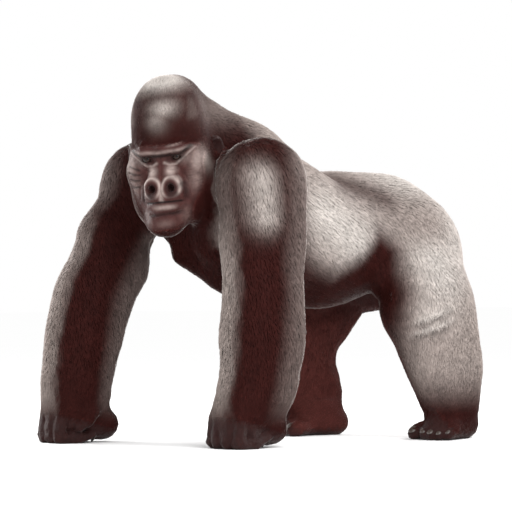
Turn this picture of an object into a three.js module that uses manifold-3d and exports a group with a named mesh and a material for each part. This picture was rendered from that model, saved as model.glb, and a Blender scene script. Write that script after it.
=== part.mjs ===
// A silverback gorilla standing on all fours, life size, in millimetres.
// +Z is up, the animal faces along -Y and its left side is +X. The origin is on the floor, under the middle
// of its box. Flesh and coat are one smooth volume, a sum of muscle masses placed from the joints. This is
// turned into triangles, thinned as far as each region allows, and parted into named pieces by thin cuts.
import * as THREE from "three";
import { edgeTable, triTable } from "three/addons/objects/MarchingCubes.js";
import { mergeVertices } from "three/addons/utils/BufferGeometryUtils.js";
import Module from "manifold-3d";

const wasm = await Module();
wasm.setup();

// ---------------------------------------------------------------- driving dimensions

const GAP = 0.3; // between neighbouring pieces
const LEFT = 1;
const RIGHT = -1;
const SIDE_NAME = { [LEFT]: "left", [RIGHT]: "right" };

// The middle of the head lies between the ears, at eye height. Angles are in degrees.
const HEAD = { centre: [37, -330, 864], yaw: 40, pitch: 12, roll: 5 };
// `palm` is the Y of the middle of the hand, `cuff` thickens the forearm, and `turn` is the hand's heading.
const ARM = {
  [LEFT]: {
    shoulder: [248, -156, 778],
    elbow: [275, -166, 440],
    wrist: [272, -172, 200],
    palm: -211,
    cuff: 1.1,
    turn: 6,
  },
  [RIGHT]: {
    shoulder: [-244, -247, 782],
    elbow: [-272, -414, 432],
    wrist: [-270, -480, 190],
    palm: -458,
    cuff: 1,
    turn: -8,
  },
};
const LEG = {
  [LEFT]: {
    hip: [140, 500, 590],
    knee: [218, 492, 400],
    calf: [226, 528, 280],
    ankle: [226, 576, 112],
    turn: 22,
    kneeSlope: -0.2,
  },
  [RIGHT]: {
    hip: [-140, 495, 590],
    knee: [-196, 336, 395],
    calf: [-198, 250, 292],
    ankle: [-198, 358, 112],
    turn: -14,
    kneeSlope: 0.35,
  },
};
// The hollow between the right arm, which reaches forward, and the breast.
const ARMPIT = { front: [-52, -319], back: [-264, -171], heights: [594, 550, 506], radius: 34 };
// In the head's own frame, which has its middle at HEAD.centre and the face towards -Y:
const EYE = { radius: 15, x: 45, y: -99, z: 6 };
const LID_OPENING = { forward: 17, radii: [16, 14, 5.5] };
const EAR = { root: [119, 34, -4], width: 22, height: 34, rim: 5.5, flare: -30 };
const NOSTRIL = { x: 29, y: -156, z: -76, radii: [12, 25, 14] };
const MOUTH = { halfWidth: 56, front: -169, height: -115, depth: 18, open: 3 };
const NECK_CUT = { centre: [-8, -97, 34], size: [306, 366, 540], tilt: -20 }; // the block that the head fills
// Where the limbs and the trunk are parted. A limb is what a block takes off the trunk: `inside` is how far
// its inner side lies from the middle of the animal.
const ARM_CUT = { inside: 152, size: [420, 640, 1000], ahead: 170, below: 340 };
const LEG_CUT = { inside: 100, size: [300, 700, 760], ahead: 190, height: 300, tilt: -14 };
const WRIST_HEIGHT = 158;
const ANKLE_HEIGHT = 116;
const NECK_BASE = { through: [0, -95, 860], towards: [0.1, -1, 0.5] };
const CHEST_END = { through: [0, 190, 600], towards: [0, -1, 0.1] };
const BELLY_END = { through: [0, 400, 600], towards: [0, -1, 0.1] };

const COAT_DARK = new THREE.MeshStandardMaterial({ color: 0x3a2320, roughness: 0.75, metalness: 0 });
const COAT_SILVER = new THREE.MeshStandardMaterial({ color: 0x8d817b, roughness: 0.7, metalness: 0 });
const BARE_SKIN = new THREE.MeshStandardMaterial({ color: 0x2e2322, roughness: 0.5, metalness: 0 });
const EYE_WET = new THREE.MeshStandardMaterial({ color: 0x1a0f0a, roughness: 0.08, metalness: 0 });

// ---------------------------------------------------------------- masses and the field that they make

const vec = (p) => new THREE.Vector3(...p);
const mix = (a, b, t) => a.map((v, i) => v + (b[i] - v) * t);
const shift = (p, d) => p.map((v, i) => v + d[i]);
const place = (position, degrees = [0, 0, 0], order = "XYZ") =>
  new THREE.Matrix4().compose(
    vec(position),
    new THREE.Quaternion().setFromEuler(new THREE.Euler(...degrees.map(THREE.MathUtils.degToRad), order)),
    new THREE.Vector3(1, 1, 1),
  );

const WORLD = place([0, 0, 0]);
const OUTSIDE = 1e3; // field value far away from everything

// An ellipsoid. `blend` is how far it melts into what is already there; a carved one is taken away instead.
function blob(list, centre, radii, blend, { frame = WORLD, turn = [0, 0, 0], carve = false } = {}) {
  const inverse = frame.clone().multiply(place(centre, turn)).invert().elements;
  const middle = vec(centre).applyMatrix4(frame);
  const [rx, ry, rz] = radii;
  list.push({
    blend,
    carve,
    middle,
    size: Math.max(...radii),
    distance(x, y, z) {
      const u = (inverse[0] * x + inverse[4] * y + inverse[8] * z + inverse[12]) / rx;
      const v = (inverse[1] * x + inverse[5] * y + inverse[9] * z + inverse[13]) / ry;
      const w = (inverse[2] * x + inverse[6] * y + inverse[10] * z + inverse[14]) / rz;
      const outer = Math.sqrt(u * u + v * v + w * w);
      const slope = Math.sqrt((u / rx) ** 2 + (v / ry) ** 2 + (w / rz) ** 2);
      return slope < 1e-9 ? -Math.min(rx, ry, rz) : (outer * (outer - 1)) / slope;
    },
  });
}

// A tapering length from a to b, `wide` times as broad across X as it is fore and aft.
function taper(list, a, b, radiusA, radiusB, blend, { frame = WORLD, wide = 1, carve = false } = {}) {
  const start = vec(a).applyMatrix4(frame);
  const end = vec(b).applyMatrix4(frame);
  const axis = end.clone().sub(start);
  const length = axis.length();
  axis.normalize();
  const across = new THREE.Vector3(1, 0, 0).transformDirection(frame);
  across.addScaledVector(axis, -across.dot(axis)).normalize();
  const front = axis.clone().cross(across);
  list.push({
    blend,
    carve,
    middle: start.clone().lerp(end, 0.5),
    size: length / 2 + Math.max(radiusA, radiusB) * Math.max(1, wide),
    distance(x, y, z) {
      const dx = x - start.x;
      const dy = y - start.y;
      const dz = z - start.z;
      const along = dx * axis.x + dy * axis.y + dz * axis.z;
      const u = (dx * across.x + dy * across.y + dz * across.z) / wide;
      const v = dx * front.x + dy * front.y + dz * front.z;
      const t = Math.min(1, Math.max(0, along / length));
      const rest = along - t * length;
      const radius = radiusA + (radiusB - radiusA) * t;
      return (Math.sqrt(u * u + v * v + rest * rest) - radius) * Math.min(1, wide);
    },
  });
}

// A chain of tapering lengths through several points.
function chain(list, points, radii, blend, options) {
  for (let i = 0; i + 1 < points.length; i++) {
    taper(list, points[i], points[i + 1], radii[i], radii[i + 1], blend, options);
  }
}

// Masses that are first joined among themselves, and then melt into the rest as one.
function group(list, members, blend) {
  const spheres = members.filter((m) => !m.carve).map((m) => new THREE.Sphere(m.middle, m.size));
  const whole = spheres.reduce((a, b) => a.union(b), spheres[0].clone());
  list.push({ blend, carve: false, middle: whole.center, size: whole.radius, distance: fieldOf(members) });
}

function fieldOf(masses) {
  return (x, y, z) => {
    let d = OUTSIDE;
    for (const m of masses) {
      const k = m.blend;
      const nearest = Math.hypot(x - m.middle.x, y - m.middle.y, z - m.middle.z) - m.size;
      if (nearest > (m.carve ? -d : d) + k) continue;
      const e = m.distance(x, y, z);
      if (m.carve) {
        const h = Math.max(0, k - Math.abs(d + e)) / k;
        d = Math.max(d, -e) + (h * h * k) / 4;
      } else {
        const h = Math.max(0, k - Math.abs(d - e)) / k;
        d = Math.min(d, e) - (h * h * k) / 4;
      }
    }
    return d;
  };
}

// ---------------------------------------------------------------- the body

function trunk(list) {
  blob(list, [0, -36, 682], [212, 206, 254], 60); // rib cage
  blob(list, [0, -80, 860], [148, 154, 103], 42); // neck muscles over the shoulders
  blob(list, [0, 12, 778], [158, 152, 104], 40, { turn: [-26, 0, 0] }); // upper back
  blob(list, [0, 215, 606], [222, 255, 208], 60); // belly
  blob(list, [0, 330, 640], [172, 200, 176], 60); // loins
  blob(list, [0, 470, 640], [178, 178, 178], 60); // pelvis
  for (const s of [LEFT, RIGHT]) {
    blob(list, [s * 100, -185, 640], [105, 85, 110], 60); // breast muscle
    blob(list, [s * 150, 40, 660], [90, 190, 170], 70); // broad back muscle
    blob(list, [s * 82, 564, 540], [108, 130, 150], 60); // buttock
  }
}

function neck(list) {
  chain(list, [[6, -206, 938], [0, -90, 856]], [96, 122], 50);
  chain(list, [[0, -196, 800], [0, -110, 740]], [100, 130], 60); // throat
}

function arm(list, side) {
  const { shoulder, elbow, wrist, cuff } = ARM[side];
  const fore = mix(elbow, wrist, 0.5);
  blob(list, shift(shoulder, [side * 4, 4, 0]), [108, 138, 134], 60); // shoulder cap
  blob(list, shift(shoulder, [-side * 70, 45, 20]), [100, 130, 98], 60); // blade muscles
  taper(list, shift(shoulder, [0, 0, -50]), elbow, 130, 118, 40, { wide: 0.8 });
  blob(list, shift(mix(shoulder, elbow, 0.55), [0, -52, 0]), [74, 76, 120], 40); // biceps
  blob(list, shift(mix(shoulder, elbow, 0.45), [side * 6, 60, 0]), [80, 72, 150], 40); // triceps
  taper(list, elbow, fore, 118, 115 * cuff, 40, { wide: 0.8 });
  taper(list, fore, shift(wrist, [0, 0, -6]), 115 * cuff, 110 * cuff, 40, { wide: 0.76 });
}

// A hand folded to walk on its knuckles. Its own frame has the palm over the origin, the knuckles towards -Y.
function hand(list, side) {
  const { wrist, palm, cuff, turn } = ARM[side];
  const frame = place([wrist[0], palm, 0], [0, 0, turn]);
  const options = { frame };
  taper(list, [0, 2, 165], [0, -26, 112], 89 * cuff, 86 * cuff, 40, { frame, wide: 0.84 }); // wrist
  blob(list, [0, -43, 105], [72, 64, 42], 30, options); // back of the hand
  blob(list, [0, -50, 60], [72, 46, 42], 14, options); // inside of the fist
  const fingers = [
    { x: -57, reach: 0.93, r: 18.5 },
    { x: -20, reach: 1.03, r: 20 },
    { x: 19, reach: 1.0, r: 19.5 },
    { x: 56, reach: 0.9, r: 17.5 },
  ];
  for (const { x, reach, r } of fingers) {
    const knuckle = [x * 0.93, -91 * reach, 104];
    const bend = [x, -104 * reach, r - 3];
    const joint = [x, -30, r - 4];
    const tip = [x * 0.9, 14, r + 8];
    chain(list, [knuckle, bend, joint, tip], [r + 3, r, r - 1, r - 4], 6, options);
  }
  const inner = -side;
  const thumb = [[inner * 64, 16, 100], [inner * 80, -14, 70], [inner * 74, -40, 46]];
  chain(list, thumb, [23, 19, 15], 12, options);
  blob(list, [0, 63, 54], [66, 56, 49], 30, options); // heel of the hand
}

function leg(list, side) {
  const { hip, knee, calf, ankle } = LEG[side];
  blob(list, shift(hip, [side * 6, 0, 0]), [100, 135, 150], 70); // haunch
  chain(list, [hip, knee, calf, mix(calf, ankle, 0.6), ankle], [140, 150, 124, 104, 90], 40, { wide: 0.7 });
  blob(list, shift(knee, [0, -76, -6]), [66, 72, 70], 40); // knee
  blob(list, shift(mix(calf, ankle, 0.3), [side * 4, 52, 0]), [62, 66, 90], 40); // calf muscle
}

// A foot flat on the floor. Its own frame has the ankle over the origin and the toes towards -Y.
function foot(list, side) {
  const { ankle, turn } = LEG[side];
  const frame = place([ankle[0], ankle[1], 0], [0, 0, turn]);
  const options = { frame };
  taper(list, [0, 0, 130], [0, 10, 66], 88, 66, 35, { frame, wide: 0.8 });
  blob(list, [0, 60, 40], [50, 56, 46], 26, options); // heel
  blob(list, [side * 4, -30, 42], [56, 84, 40], 30, options); // arch
  blob(list, [side * 6, -70, 30], [62, 46, 30], 22, options); // ball
  const toes = [
    { x: 47, y: -114, r: 15 },
    { x: 23, y: -130, r: 16.5 },
    { x: -3, y: -137, r: 17.5 },
    { x: -29, y: -131, r: 18 },
  ];
  for (const { x, y, r } of toes) {
    const root = [side * x * 0.85, -80, r + 9];
    const bend = [side * x, -80 + (y + 80) * 0.55, r + 6];
    chain(list, [root, bend, [side * x * 1.03, y + r, r - 2.5]], [r + 1, r, r - 1], 7, options);
  }
  const inner = -side;
  const bigToe = [[inner * 38, -40, 32], [inner * 68, -74, 26], [inner * 74, -104, 18.5]];
  chain(list, bigToe, [28, 23, 21], 12, options);
}

// ---------------------------------------------------------------- the head, in its own frame

const headFrame = place(HEAD.centre, [0, 0, HEAD.yaw])
  .multiply(place([0, 0, 0], [HEAD.pitch, 0, 0]))
  .multiply(place([0, 0, 0], [0, -HEAD.roll, 0]));

function skull(list) {
  const at = (centre, radii, blend) => blob(list, centre, radii, blend, { frame: headFrame });
  at([0, 12, 86], [112, 116, 148], 50); // dome of the crest
  at([0, 20, 0], [112, 118, 100], 50);
  at([0, 108, 102], [91, 92, 118], 50); // nape
  at([0, -62, 0], [92, 52, 58], 25); // face behind the eyes
  at([0, -96, -100], [68, 66, 58], 30); // upper jaw
  at([-12, -115, -180], [60, 54, 49], 28); // chin
  for (const s of [LEFT, RIGHT]) {
    at([s * 76, -14, -70], [55, 92, 102], 35); // cheek
    at([s * 88, -64, -34], [36, 38, 38], 20); // cheekbone
    at([s * 58, -36, -142], [56, 78, 66], 35); // jaw angle
  }
}

function face(list) {
  const options = { frame: headFrame };
  const at = (centre, radii, blend) => blob(list, centre, radii, blend, options);
  for (const s of [LEFT, RIGHT]) {
    blob(list, [s * 46, -128, 4], [31, 27, 17], 12, { frame: headFrame, carve: true }); // eye socket
  }
  const brow = [[-100, -58, 30], [-56, -108, 36], [0, -115, 31], [56, -108, 36], [100, -58, 30]];
  chain(list, brow, [10, 14, 12, 14, 10], 18, options);
  taper(list, [0, -100, 16], [0, -122, -54], 14, 20, 16, options); // bridge of the nose
  for (const s of [LEFT, RIGHT]) {
    taper(list, [s * 19, -100, -8], [s * 29, -120, -46], 11, 16, 10, options); // side of the nose
    at([s * 30, -132, -74], [28, 25, 30], 6); // wing of the nose
  }
  at([0, -122, -100], [60, 46, 21], 12); // upper lip
  at([0, -119, -133], [53, 46, 18], 12); // lower lip
  for (const s of [LEFT, RIGHT]) {
    at([s * EYE.x, EYE.y + 1, EYE.z + 10], [22, 19, 11], 5); // upper lid
    at([s * EYE.x, EYE.y + 1, EYE.z - 11], [21, 18, 9], 5); // lower lid
  }
}

// A small round ear with a rolled rim around its cup, close to the side of the head.
function ear(list, side) {
  const { root, width, height, rim, flare } = EAR;
  const frame = headFrame.clone().multiply(place([side * root[0], root[1], root[2]], [-12, 0, side * flare]));
  const lift = side * 15;
  blob(list, [lift * 0.4, 0, 0], [12, width - 2, height - 2], 8, { frame });
  const rolled = new THREE.EllipseCurve(0, 0, width, height, -0.62 * Math.PI, 0.74 * Math.PI).getPoints(9);
  chain(list, rolled.map((v) => [lift, v.x, v.y]), rolled.map(() => rim), 4, { frame });
  blob(list, [lift + side * 4, -2, 1], [9, width * 0.62, height * 0.66], 4, { frame, carve: true }); // cup
}

// ---------------------------------------------------------------- small vector helpers

const minus = (a, b) => [a[0] - b[0], a[1] - b[1], a[2] - b[2]];
const dot = (a, b) => a[0] * b[0] + a[1] * b[1] + a[2] * b[2];
const cross = (a, b) => [a[1] * b[2] - a[2] * b[1], a[2] * b[0] - a[0] * b[2], a[0] * b[1] - a[1] * b[0]];
const agreement = (a, b) => dot(a, b) / (Math.hypot(...a) * Math.hypot(...b) || 1);
const normalOf = (a, b, c) => cross(minus(b, a), minus(c, a));
const roundness = (a, b, c) => {
  const sides = [minus(b, a), minus(c, b), minus(a, c)].map((side) => dot(side, side));
  return Math.hypot(...normalOf(a, b, c)) / Math.max(...sides);
};

// ---------------------------------------------------------------- from field to triangles

const SQUARE = [[0, 0], [1, 0], [1, 1], [0, 1]];
const CORNERS = [0, 1].flatMap((z) => SQUARE.map(([x, y]) => [x, y, z]));
const RING = [[0, 1], [1, 2], [3, 2], [0, 3]];
const EDGES = [...RING, ...RING.map(([a, b]) => [a + 4, b + 4]), ...[0, 1, 2, 3].map((c) => [c, c + 4])];
const BLOCK = 6; // cells along one side of a block that is skipped when it lies far from the surface

// Marching cubes over a box. The outermost layer of corners is outside, which closes the surface at the box.
function marched(masses, low, high, cell) {
  const box = new THREE.Box3(vec(low), vec(high));
  const field = fieldOf(masses.filter((m) => box.distanceToPoint(m.middle) < m.size + m.blend + cell));
  const n = low.map((v, i) => Math.ceil((high[i] - v) / cell / BLOCK) * BLOCK + 1);
  const index = (i, j, k) => i + n[0] * (j + n[1] * k);
  const values = new Float32Array(n[0] * n[1] * n[2]).fill(OUTSIDE);
  const half = (BLOCK * cell) / 2;
  const far = half * Math.sqrt(3) * 1.6 + 10;
  for (let k = 0; k + 1 < n[2]; k += BLOCK) {
    for (let j = 0; j + 1 < n[1]; j += BLOCK) {
      for (let i = 0; i + 1 < n[0]; i += BLOCK) {
        const middle = field(low[0] + i * cell + half, low[1] + j * cell + half, low[2] + k * cell + half);
        for (let c = 0; c <= BLOCK; c++) {
          for (let b = 0; b <= BLOCK; b++) {
            for (let a = 0; a <= BLOCK; a++) {
              const at = index(i + a, j + b, k + c);
              if (Math.abs(values[at]) !== OUTSIDE) continue;
              if (Math.abs(middle) > far) {
                values[at] = middle < 0 ? -OUTSIDE : OUTSIDE;
                continue;
              }
              const v = field(low[0] + (i + a) * cell, low[1] + (j + b) * cell, low[2] + (k + c) * cell);
              values[at] = Math.abs(v) < 1e-3 * cell ? 1e-3 * cell : v;
            }
          }
        }
      }
    }
  }
  for (let k = 0; k < n[2]; k++) {
    for (let j = 0; j < n[1]; j++) {
      for (let i = 0; i < n[0]; i++) {
        const onSide = i * j * k === 0 || i === n[0] - 1 || j === n[1] - 1 || k === n[2] - 1;
        if (onSide) values[index(i, j, k)] = OUTSIDE;
      }
    }
  }

  const made = new Map();
  const positions = [];
  const faces = [];
  const corner = new Array(8);
  for (let k = 0; k + 1 < n[2]; k++) {
    for (let j = 0; j + 1 < n[1]; j++) {
      for (let i = 0; i + 1 < n[0]; i++) {
        let code = 0;
        for (let c = 0; c < 8; c++) {
          corner[c] = index(i + CORNERS[c][0], j + CORNERS[c][1], k + CORNERS[c][2]);
          if (values[corner[c]] < 0) code |= 1 << c;
        }
        if (!edgeTable[code]) continue;
        const vertexOn = (edge) => {
          const [a, b] = EDGES[edge];
          const key = corner[a] * 3 + CORNERS[b].findIndex((v, axis) => v !== CORNERS[a][axis]);
          if (!made.has(key)) {
            made.set(key, positions.length / 3);
            const va = Math.max(-cell * 2, Math.min(cell * 2, values[corner[a]]));
            const vb = Math.max(-cell * 2, Math.min(cell * 2, values[corner[b]]));
            const t = Math.min(0.98, Math.max(0.02, va / (va - vb)));
            for (let axis = 0; axis < 3; axis++) {
              const from = [i, j, k][axis] + CORNERS[a][axis];
              const step = CORNERS[b][axis] - CORNERS[a][axis];
              positions.push(low[axis] + (from + step * t) * cell);
            }
          }
          return made.get(key);
        };
        for (let t = code * 16; triTable[t] !== -1; t += 3) {
          faces.push([vertexOn(triTable[t]), vertexOn(triTable[t + 1]), vertexOn(triTable[t + 2])]);
        }
      }
    }
  }
  return { positions, faces };
}

// ---------------------------------------------------------------- thinning by edge collapse

const SLIVER = 0.06; // area over longest side squared, below which a triangle is a sliver
const KEEP_FACING = 0.2; // cosine of the largest turn of a triangle in one collapse

// Keeps the cheapest item on top.
class Heap {
  items = [];

  push(item) {
    const a = this.items;
    let i = a.push(item) - 1;
    while (i > 0) {
      const up = (i - 1) >> 1;
      if (a[up].cost <= item.cost) break;
      a[i] = a[up];
      i = up;
    }
    a[i] = item;
  }

  pop() {
    const a = this.items;
    const top = a[0];
    const last = a.pop();
    let i = 0;
    while (2 * i + 1 < a.length) {
      let down = 2 * i + 1;
      if (down + 1 < a.length && a[down + 1].cost < a[down].cost) down++;
      if (a[down].cost >= last.cost) break;
      a[i] = a[down];
      i = down;
    }
    if (a.length) a[i] = last;
    return top;
  }
}

// Collapses the edge that changes the surface least, again and again, until `target` triangles are left.
// `even` is how strongly triangles are kept alike in size, and `weight` how much the shape counts at a place.
function thinned({ positions, faces }, target, even, weight = () => 1) {
  const p = Float64Array.from(positions);
  const count = p.length / 3;
  const quadrics = Array.from({ length: count }, () => new Float64Array(10));
  const around = Array.from({ length: count }, () => new Set());
  const stamp = new Int32Array(count);
  const alive = faces.map(() => true);
  const corner = (v) => [p[3 * v], p[3 * v + 1], p[3 * v + 2]];
  const addPlane = (q, [a, b, c], d, w) => {
    const products = [a * a, a * b, a * c, a * d, b * b, b * c, b * d, c * c, c * d, d * d];
    for (let i = 0; i < 10; i++) q[i] += w * products[i];
  };
  faces.forEach((f, id) => {
    const [a, b, c] = f.map(corner);
    const n = normalOf(a, b, c);
    const length = Math.hypot(...n) || 1;
    const unit = n.map((v) => v / length);
    const share = (length / 6) * weight(...a);
    for (const v of f) {
      around[v].add(id);
      addPlane(quadrics[v], unit, -(unit[0] * a[0] + unit[1] * a[1] + unit[2] * a[2]), share);
      const own = corner(v);
      addPlane(quadrics[v], [1, 0, 0], -own[0], share * even);
      addPlane(quadrics[v], [0, 1, 0], -own[1], share * even);
      addPlane(quadrics[v], [0, 0, 1], -own[2], share * even);
    }
  });
  const cheapest = (u, v) => {
    const q = quadrics[u].map((value, i) => value + quadrics[v][i]);
    const [a, b] = [corner(u), corner(v)];
    let [x, y, z] = mix(a, b, 0.5);
    const [m00, m01, m02, m11, m12, m22] = [q[0], q[1], q[2], q[4], q[5], q[7]];
    const [c00, c01, c02] = [m11 * m22 - m12 * m12, m02 * m12 - m01 * m22, m01 * m12 - m02 * m11];
    const det = m00 * c00 + m01 * c01 + m02 * c02;
    if (Math.abs(det) > 1e-12) {
      const [c11, c12, c22] = [m00 * m22 - m02 * m02, m01 * m02 - m00 * m12, m00 * m11 - m01 * m01];
      const solved = [
        -(c00 * q[3] + c01 * q[6] + c02 * q[8]) / det,
        -(c01 * q[3] + c11 * q[6] + c12 * q[8]) / det,
        -(c02 * q[3] + c12 * q[6] + c22 * q[8]) / det,
      ];
      const reach = 1.5 * Math.hypot(...minus(a, b));
      if (Math.hypot(...minus(solved, [x, y, z])) < reach) [x, y, z] = solved;
    }
    const cost =
      q[0] * x * x + 2 * q[1] * x * y + 2 * q[2] * x * z + 2 * q[3] * x + q[4] * y * y +
      2 * q[5] * y * z + 2 * q[6] * y + q[7] * z * z + 2 * q[8] * z + q[9];
    return { cost, at: [x, y, z] };
  };
  const heap = new Heap();
  const offer = (u, v) => heap.push({ ...cheapest(u, v), u, v, su: stamp[u], sv: stamp[v] });
  const neighbours = (v) => new Set([...around[v]].flatMap((id) => faces[id].filter((w) => w !== v)));
  const spoils = (v, other, at) =>
    [...around[v]].some((id) => {
      const f = faces[id];
      if (f.includes(other)) return false;
      const old = f.map(corner);
      const fresh = f.map((w) => (w === v ? at : corner(w)));
      if (agreement(normalOf(...old), normalOf(...fresh)) < KEEP_FACING) return true;
      return roundness(...fresh) < Math.min(SLIVER, roundness(...old));
    });
  let left = faces.length;
  let leftBefore = Infinity;
  while (left > target) {
    if (!heap.items.length) {
      if (left === leftBefore) break;
      leftBefore = left;
      for (let v = 0; v < count; v++) {
        for (const w of neighbours(v)) if (v < w) offer(v, w);
      }
    }
    const { u, v, su, sv, at } = heap.pop();
    if (stamp[u] !== su || stamp[v] !== sv || !around[u].size || !around[v].size) continue;
    const ring = neighbours(v);
    const shared = [...neighbours(u)].filter((w) => ring.has(w)).length;
    if (shared !== 2) continue;
    const spot = [at, corner(u), corner(v)].find((q) => !spoils(u, v, q) && !spoils(v, u, q));
    if (!spot) continue;
    for (const id of [...around[v]]) {
      const f = faces[id];
      if (f.includes(u)) {
        for (const w of f) around[w].delete(id);
        alive[id] = false;
        left--;
      } else {
        faces[id] = f.map((w) => (w === v ? u : w));
        around[u].add(id);
      }
    }
    around[v].clear();
    p.set(spot, 3 * u);
    for (let i = 0; i < 10; i++) quadrics[u][i] += quadrics[v][i];
    stamp[u]++;
    stamp[v]++;
    for (const w of neighbours(u)) offer(u, w);
  }
  return { positions: p, faces: faces.filter((_, id) => alive[id]) };
}

// ---------------------------------------------------------------- evening out

const ROUNDS = 5;
const RELAX = 0.5; // how far a corner moves towards the middle of its neighbours in one round
const ON_SURFACE = 3; // a corner with a larger field value lies on the side of the box that was searched
const OBTUSE = -0.15; // sum of the cotangents across an edge below which the edge is turned

// Turns the shared edge of two triangles where the other diagonal makes rounder ones on nearly flat ground.
function turned(p, faces) {
  const at = (v) => [p[3 * v], p[3 * v + 1], p[3 * v + 2]];
  const count = p.length / 3;
  const owner = new Map();
  faces.forEach((f, id) => f.forEach((v, i) => owner.set(v * count + f[(i + 1) % 3], id)));
  const cotangent = (tip, a, b) => {
    const u = minus(at(a), at(tip));
    const v = minus(at(b), at(tip));
    return dot(u, v) / (Math.hypot(...cross(u, v)) || 1e-9);
  };
  const normal = (a, b, c) => normalOf(at(a), at(b), at(c));
  for (let id = 0; id < faces.length; id++) {
    for (let i = 0; i < 3; i++) {
      const [a, b, c] = [faces[id][i], faces[id][(i + 1) % 3], faces[id][(i + 2) % 3]];
      const other = owner.get(b * count + a);
      const d = faces[other].find((v) => v !== a && v !== b);
      if (cotangent(c, a, b) + cotangent(d, a, b) > OBTUSE) continue;
      if (owner.has(c * count + d) || owner.has(d * count + c)) continue;
      const old = [normal(a, b, c), normal(b, a, d)];
      const fresh = [normal(a, d, c), normal(d, b, c)];
      if (Math.min(...old.flatMap((n) => fresh.map((m) => agreement(n, m)))) < 0.9) continue;
      owner.delete(a * count + b);
      owner.delete(b * count + a);
      faces[id] = [a, d, c];
      faces[other] = [d, b, c];
      for (const face of [id, other]) {
        faces[face].forEach((v, k) => owner.set(v * count + faces[face][(k + 1) % 3], face));
      }
      break;
    }
  }
}

// Evens out the triangles along the surface and sets every corner back onto the field's zero.
function settled({ positions: p, faces }, masses) {
  const field = fieldOf(masses);
  const at = (v) => [p[3 * v], p[3 * v + 1], p[3 * v + 2]];
  const slope = ([x, y, z]) => [
    field(x + 0.5, y, z) - field(x - 0.5, y, z),
    field(x, y + 0.5, z) - field(x, y - 0.5, z),
    field(x, y, z + 0.5) - field(x, y, z - 0.5),
  ];
  for (let round = 0; round < ROUNDS; round++) {
    turned(p, faces);
    const fans = new Map(faces.flat().map((v) => [v, []]));
    for (const f of faces) {
      for (const v of f) fans.get(v).push(f);
    }
    for (const [v, fan] of fans) {
      const own = at(v);
      if (Math.abs(field(...own)) > ON_SURFACE) continue;
      const g = slope(own);
      const mean = [0, 0, 0];
      const normals = fan.map((f) => {
        const [a, b, c] = f.map(at);
        for (let i = 0; i < 3; i++) mean[i] += (a[i] + b[i] + c[i] - own[i]) / (2 * fan.length);
        return normalOf(a, b, c);
      });
      const pull = minus(mean, own).map((value) => value * RELAX);
      const out = dot(pull, g) / (dot(g, g) || 1);
      let to = own.map((value, i) => value + pull[i] - out * g[i]);
      for (let step = 0; step < 2; step++) {
        const h = slope(to);
        const d = Math.max(-ON_SURFACE, Math.min(ON_SURFACE, field(...to) / (dot(h, h) || 1)));
        to = to.map((value, i) => value - d * h[i]);
      }
      p.set(to, 3 * v);
      const folds = fan.some((f, i) => agreement(normals[i], normalOf(...f.map(at))) < 0.7);
      if (folds) p.set(own, 3 * v);
    }
  }
  return { positions: p, faces };
}

// ---------------------------------------------------------------- solids, cuts and meshes

function solidOf({ positions, faces }) {
  const used = new Map();
  const kept = [];
  const number = (v) => {
    if (!used.has(v)) {
      used.set(v, kept.length / 3);
      kept.push(positions[3 * v], positions[3 * v + 1], positions[3 * v + 2]);
    }
    return used.get(v);
  };
  const triVerts = Uint32Array.from(faces.flatMap((f) => f.map(number)));
  const build = (tris) =>
    new wasm.Manifold(new wasm.Mesh({ numProp: 3, vertProperties: Float32Array.from(kept), triVerts: tris }));
  const made = build(triVerts);
  return made.volume() > 0 ? made : build(triVerts.reverse());
}

function solidOfGeometry(geometry) {
  const bare = geometry.index ? geometry.toNonIndexed() : geometry.clone();
  bare.deleteAttribute("normal");
  bare.deleteAttribute("uv");
  const merged = mergeVertices(bare, 1e-4);
  const faces = [];
  for (let i = 0; i < merged.index.count; i += 3) {
    const face = [...merged.index.array.slice(i, i + 3)];
    if (new Set(face).size === 3) faces.push(face);
  }
  return solidOf({ positions: merged.attributes.position.array, faces });
}

const largest = (solid) => {
  const bodies = solid.decompose();
  return bodies.reduce((a, b) => (b.volume() > a.volume() ? b : a));
};

// The two sides of a plane, each held back by half the gap. The first lies where the normal points.
function split(solid, { through, towards = [0, 0, 1] }) {
  const normal = vec(towards).normalize();
  const at = normal.dot(vec(through));
  const n = normal.toArray();
  return [solid.trimByPlane(n, at + GAP / 2), solid.trimByPlane(n.map((v) => -v), -at + GAP / 2)];
}

// What lies inside a block, and what is left around it.
function cutOut(solid, size, frame) {
  const block = (grow) => {
    const box = new THREE.BoxGeometry(...size.map((v) => v + 2 * grow));
    return solidOfGeometry(box.applyMatrix4(frame));
  };
  return [largest(solid.intersect(block(0))), solid.subtract(block(GAP))];
}

const gorilla = new THREE.Group();

function addNode(name, solid, material) {
  const { numProp, numVert, vertProperties, triVerts } = largest(solid).getMesh();
  const positions = new Float32Array(numVert * 3);
  for (let i = 0; i < numVert; i++) {
    positions.set(vertProperties.subarray(i * numProp, i * numProp + 3), i * 3);
  }
  const geometry = new THREE.BufferGeometry()
    .setAttribute("position", new THREE.BufferAttribute(positions, 3))
    .setIndex(new THREE.BufferAttribute(triVerts, 1));
  const mesh = new THREE.Mesh(geometry, material);
  mesh.name = name;
  gorilla.add(mesh);
}

// ---------------------------------------------------------------- assembly

const flesh = [];
const torso = [];
trunk(torso);
neck(torso);
group(flesh, torso, 60);
for (const s of [LEFT, RIGHT]) {
  const upper = [];
  const lower = [];
  arm(upper, s);
  hand(upper, s);
  leg(lower, s);
  foot(lower, s);
  group(flesh, upper, 34);
  group(flesh, lower, 60);
}
for (const z of ARMPIT.heights) {
  const { front, back, radius } = ARMPIT;
  taper(flesh, [...front, z], [...back, z], radius, radius, 22, { carve: true });
}
const headMasses = [];
skull(headMasses);
face(headMasses);
group(flesh, headMasses, 34);

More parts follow.
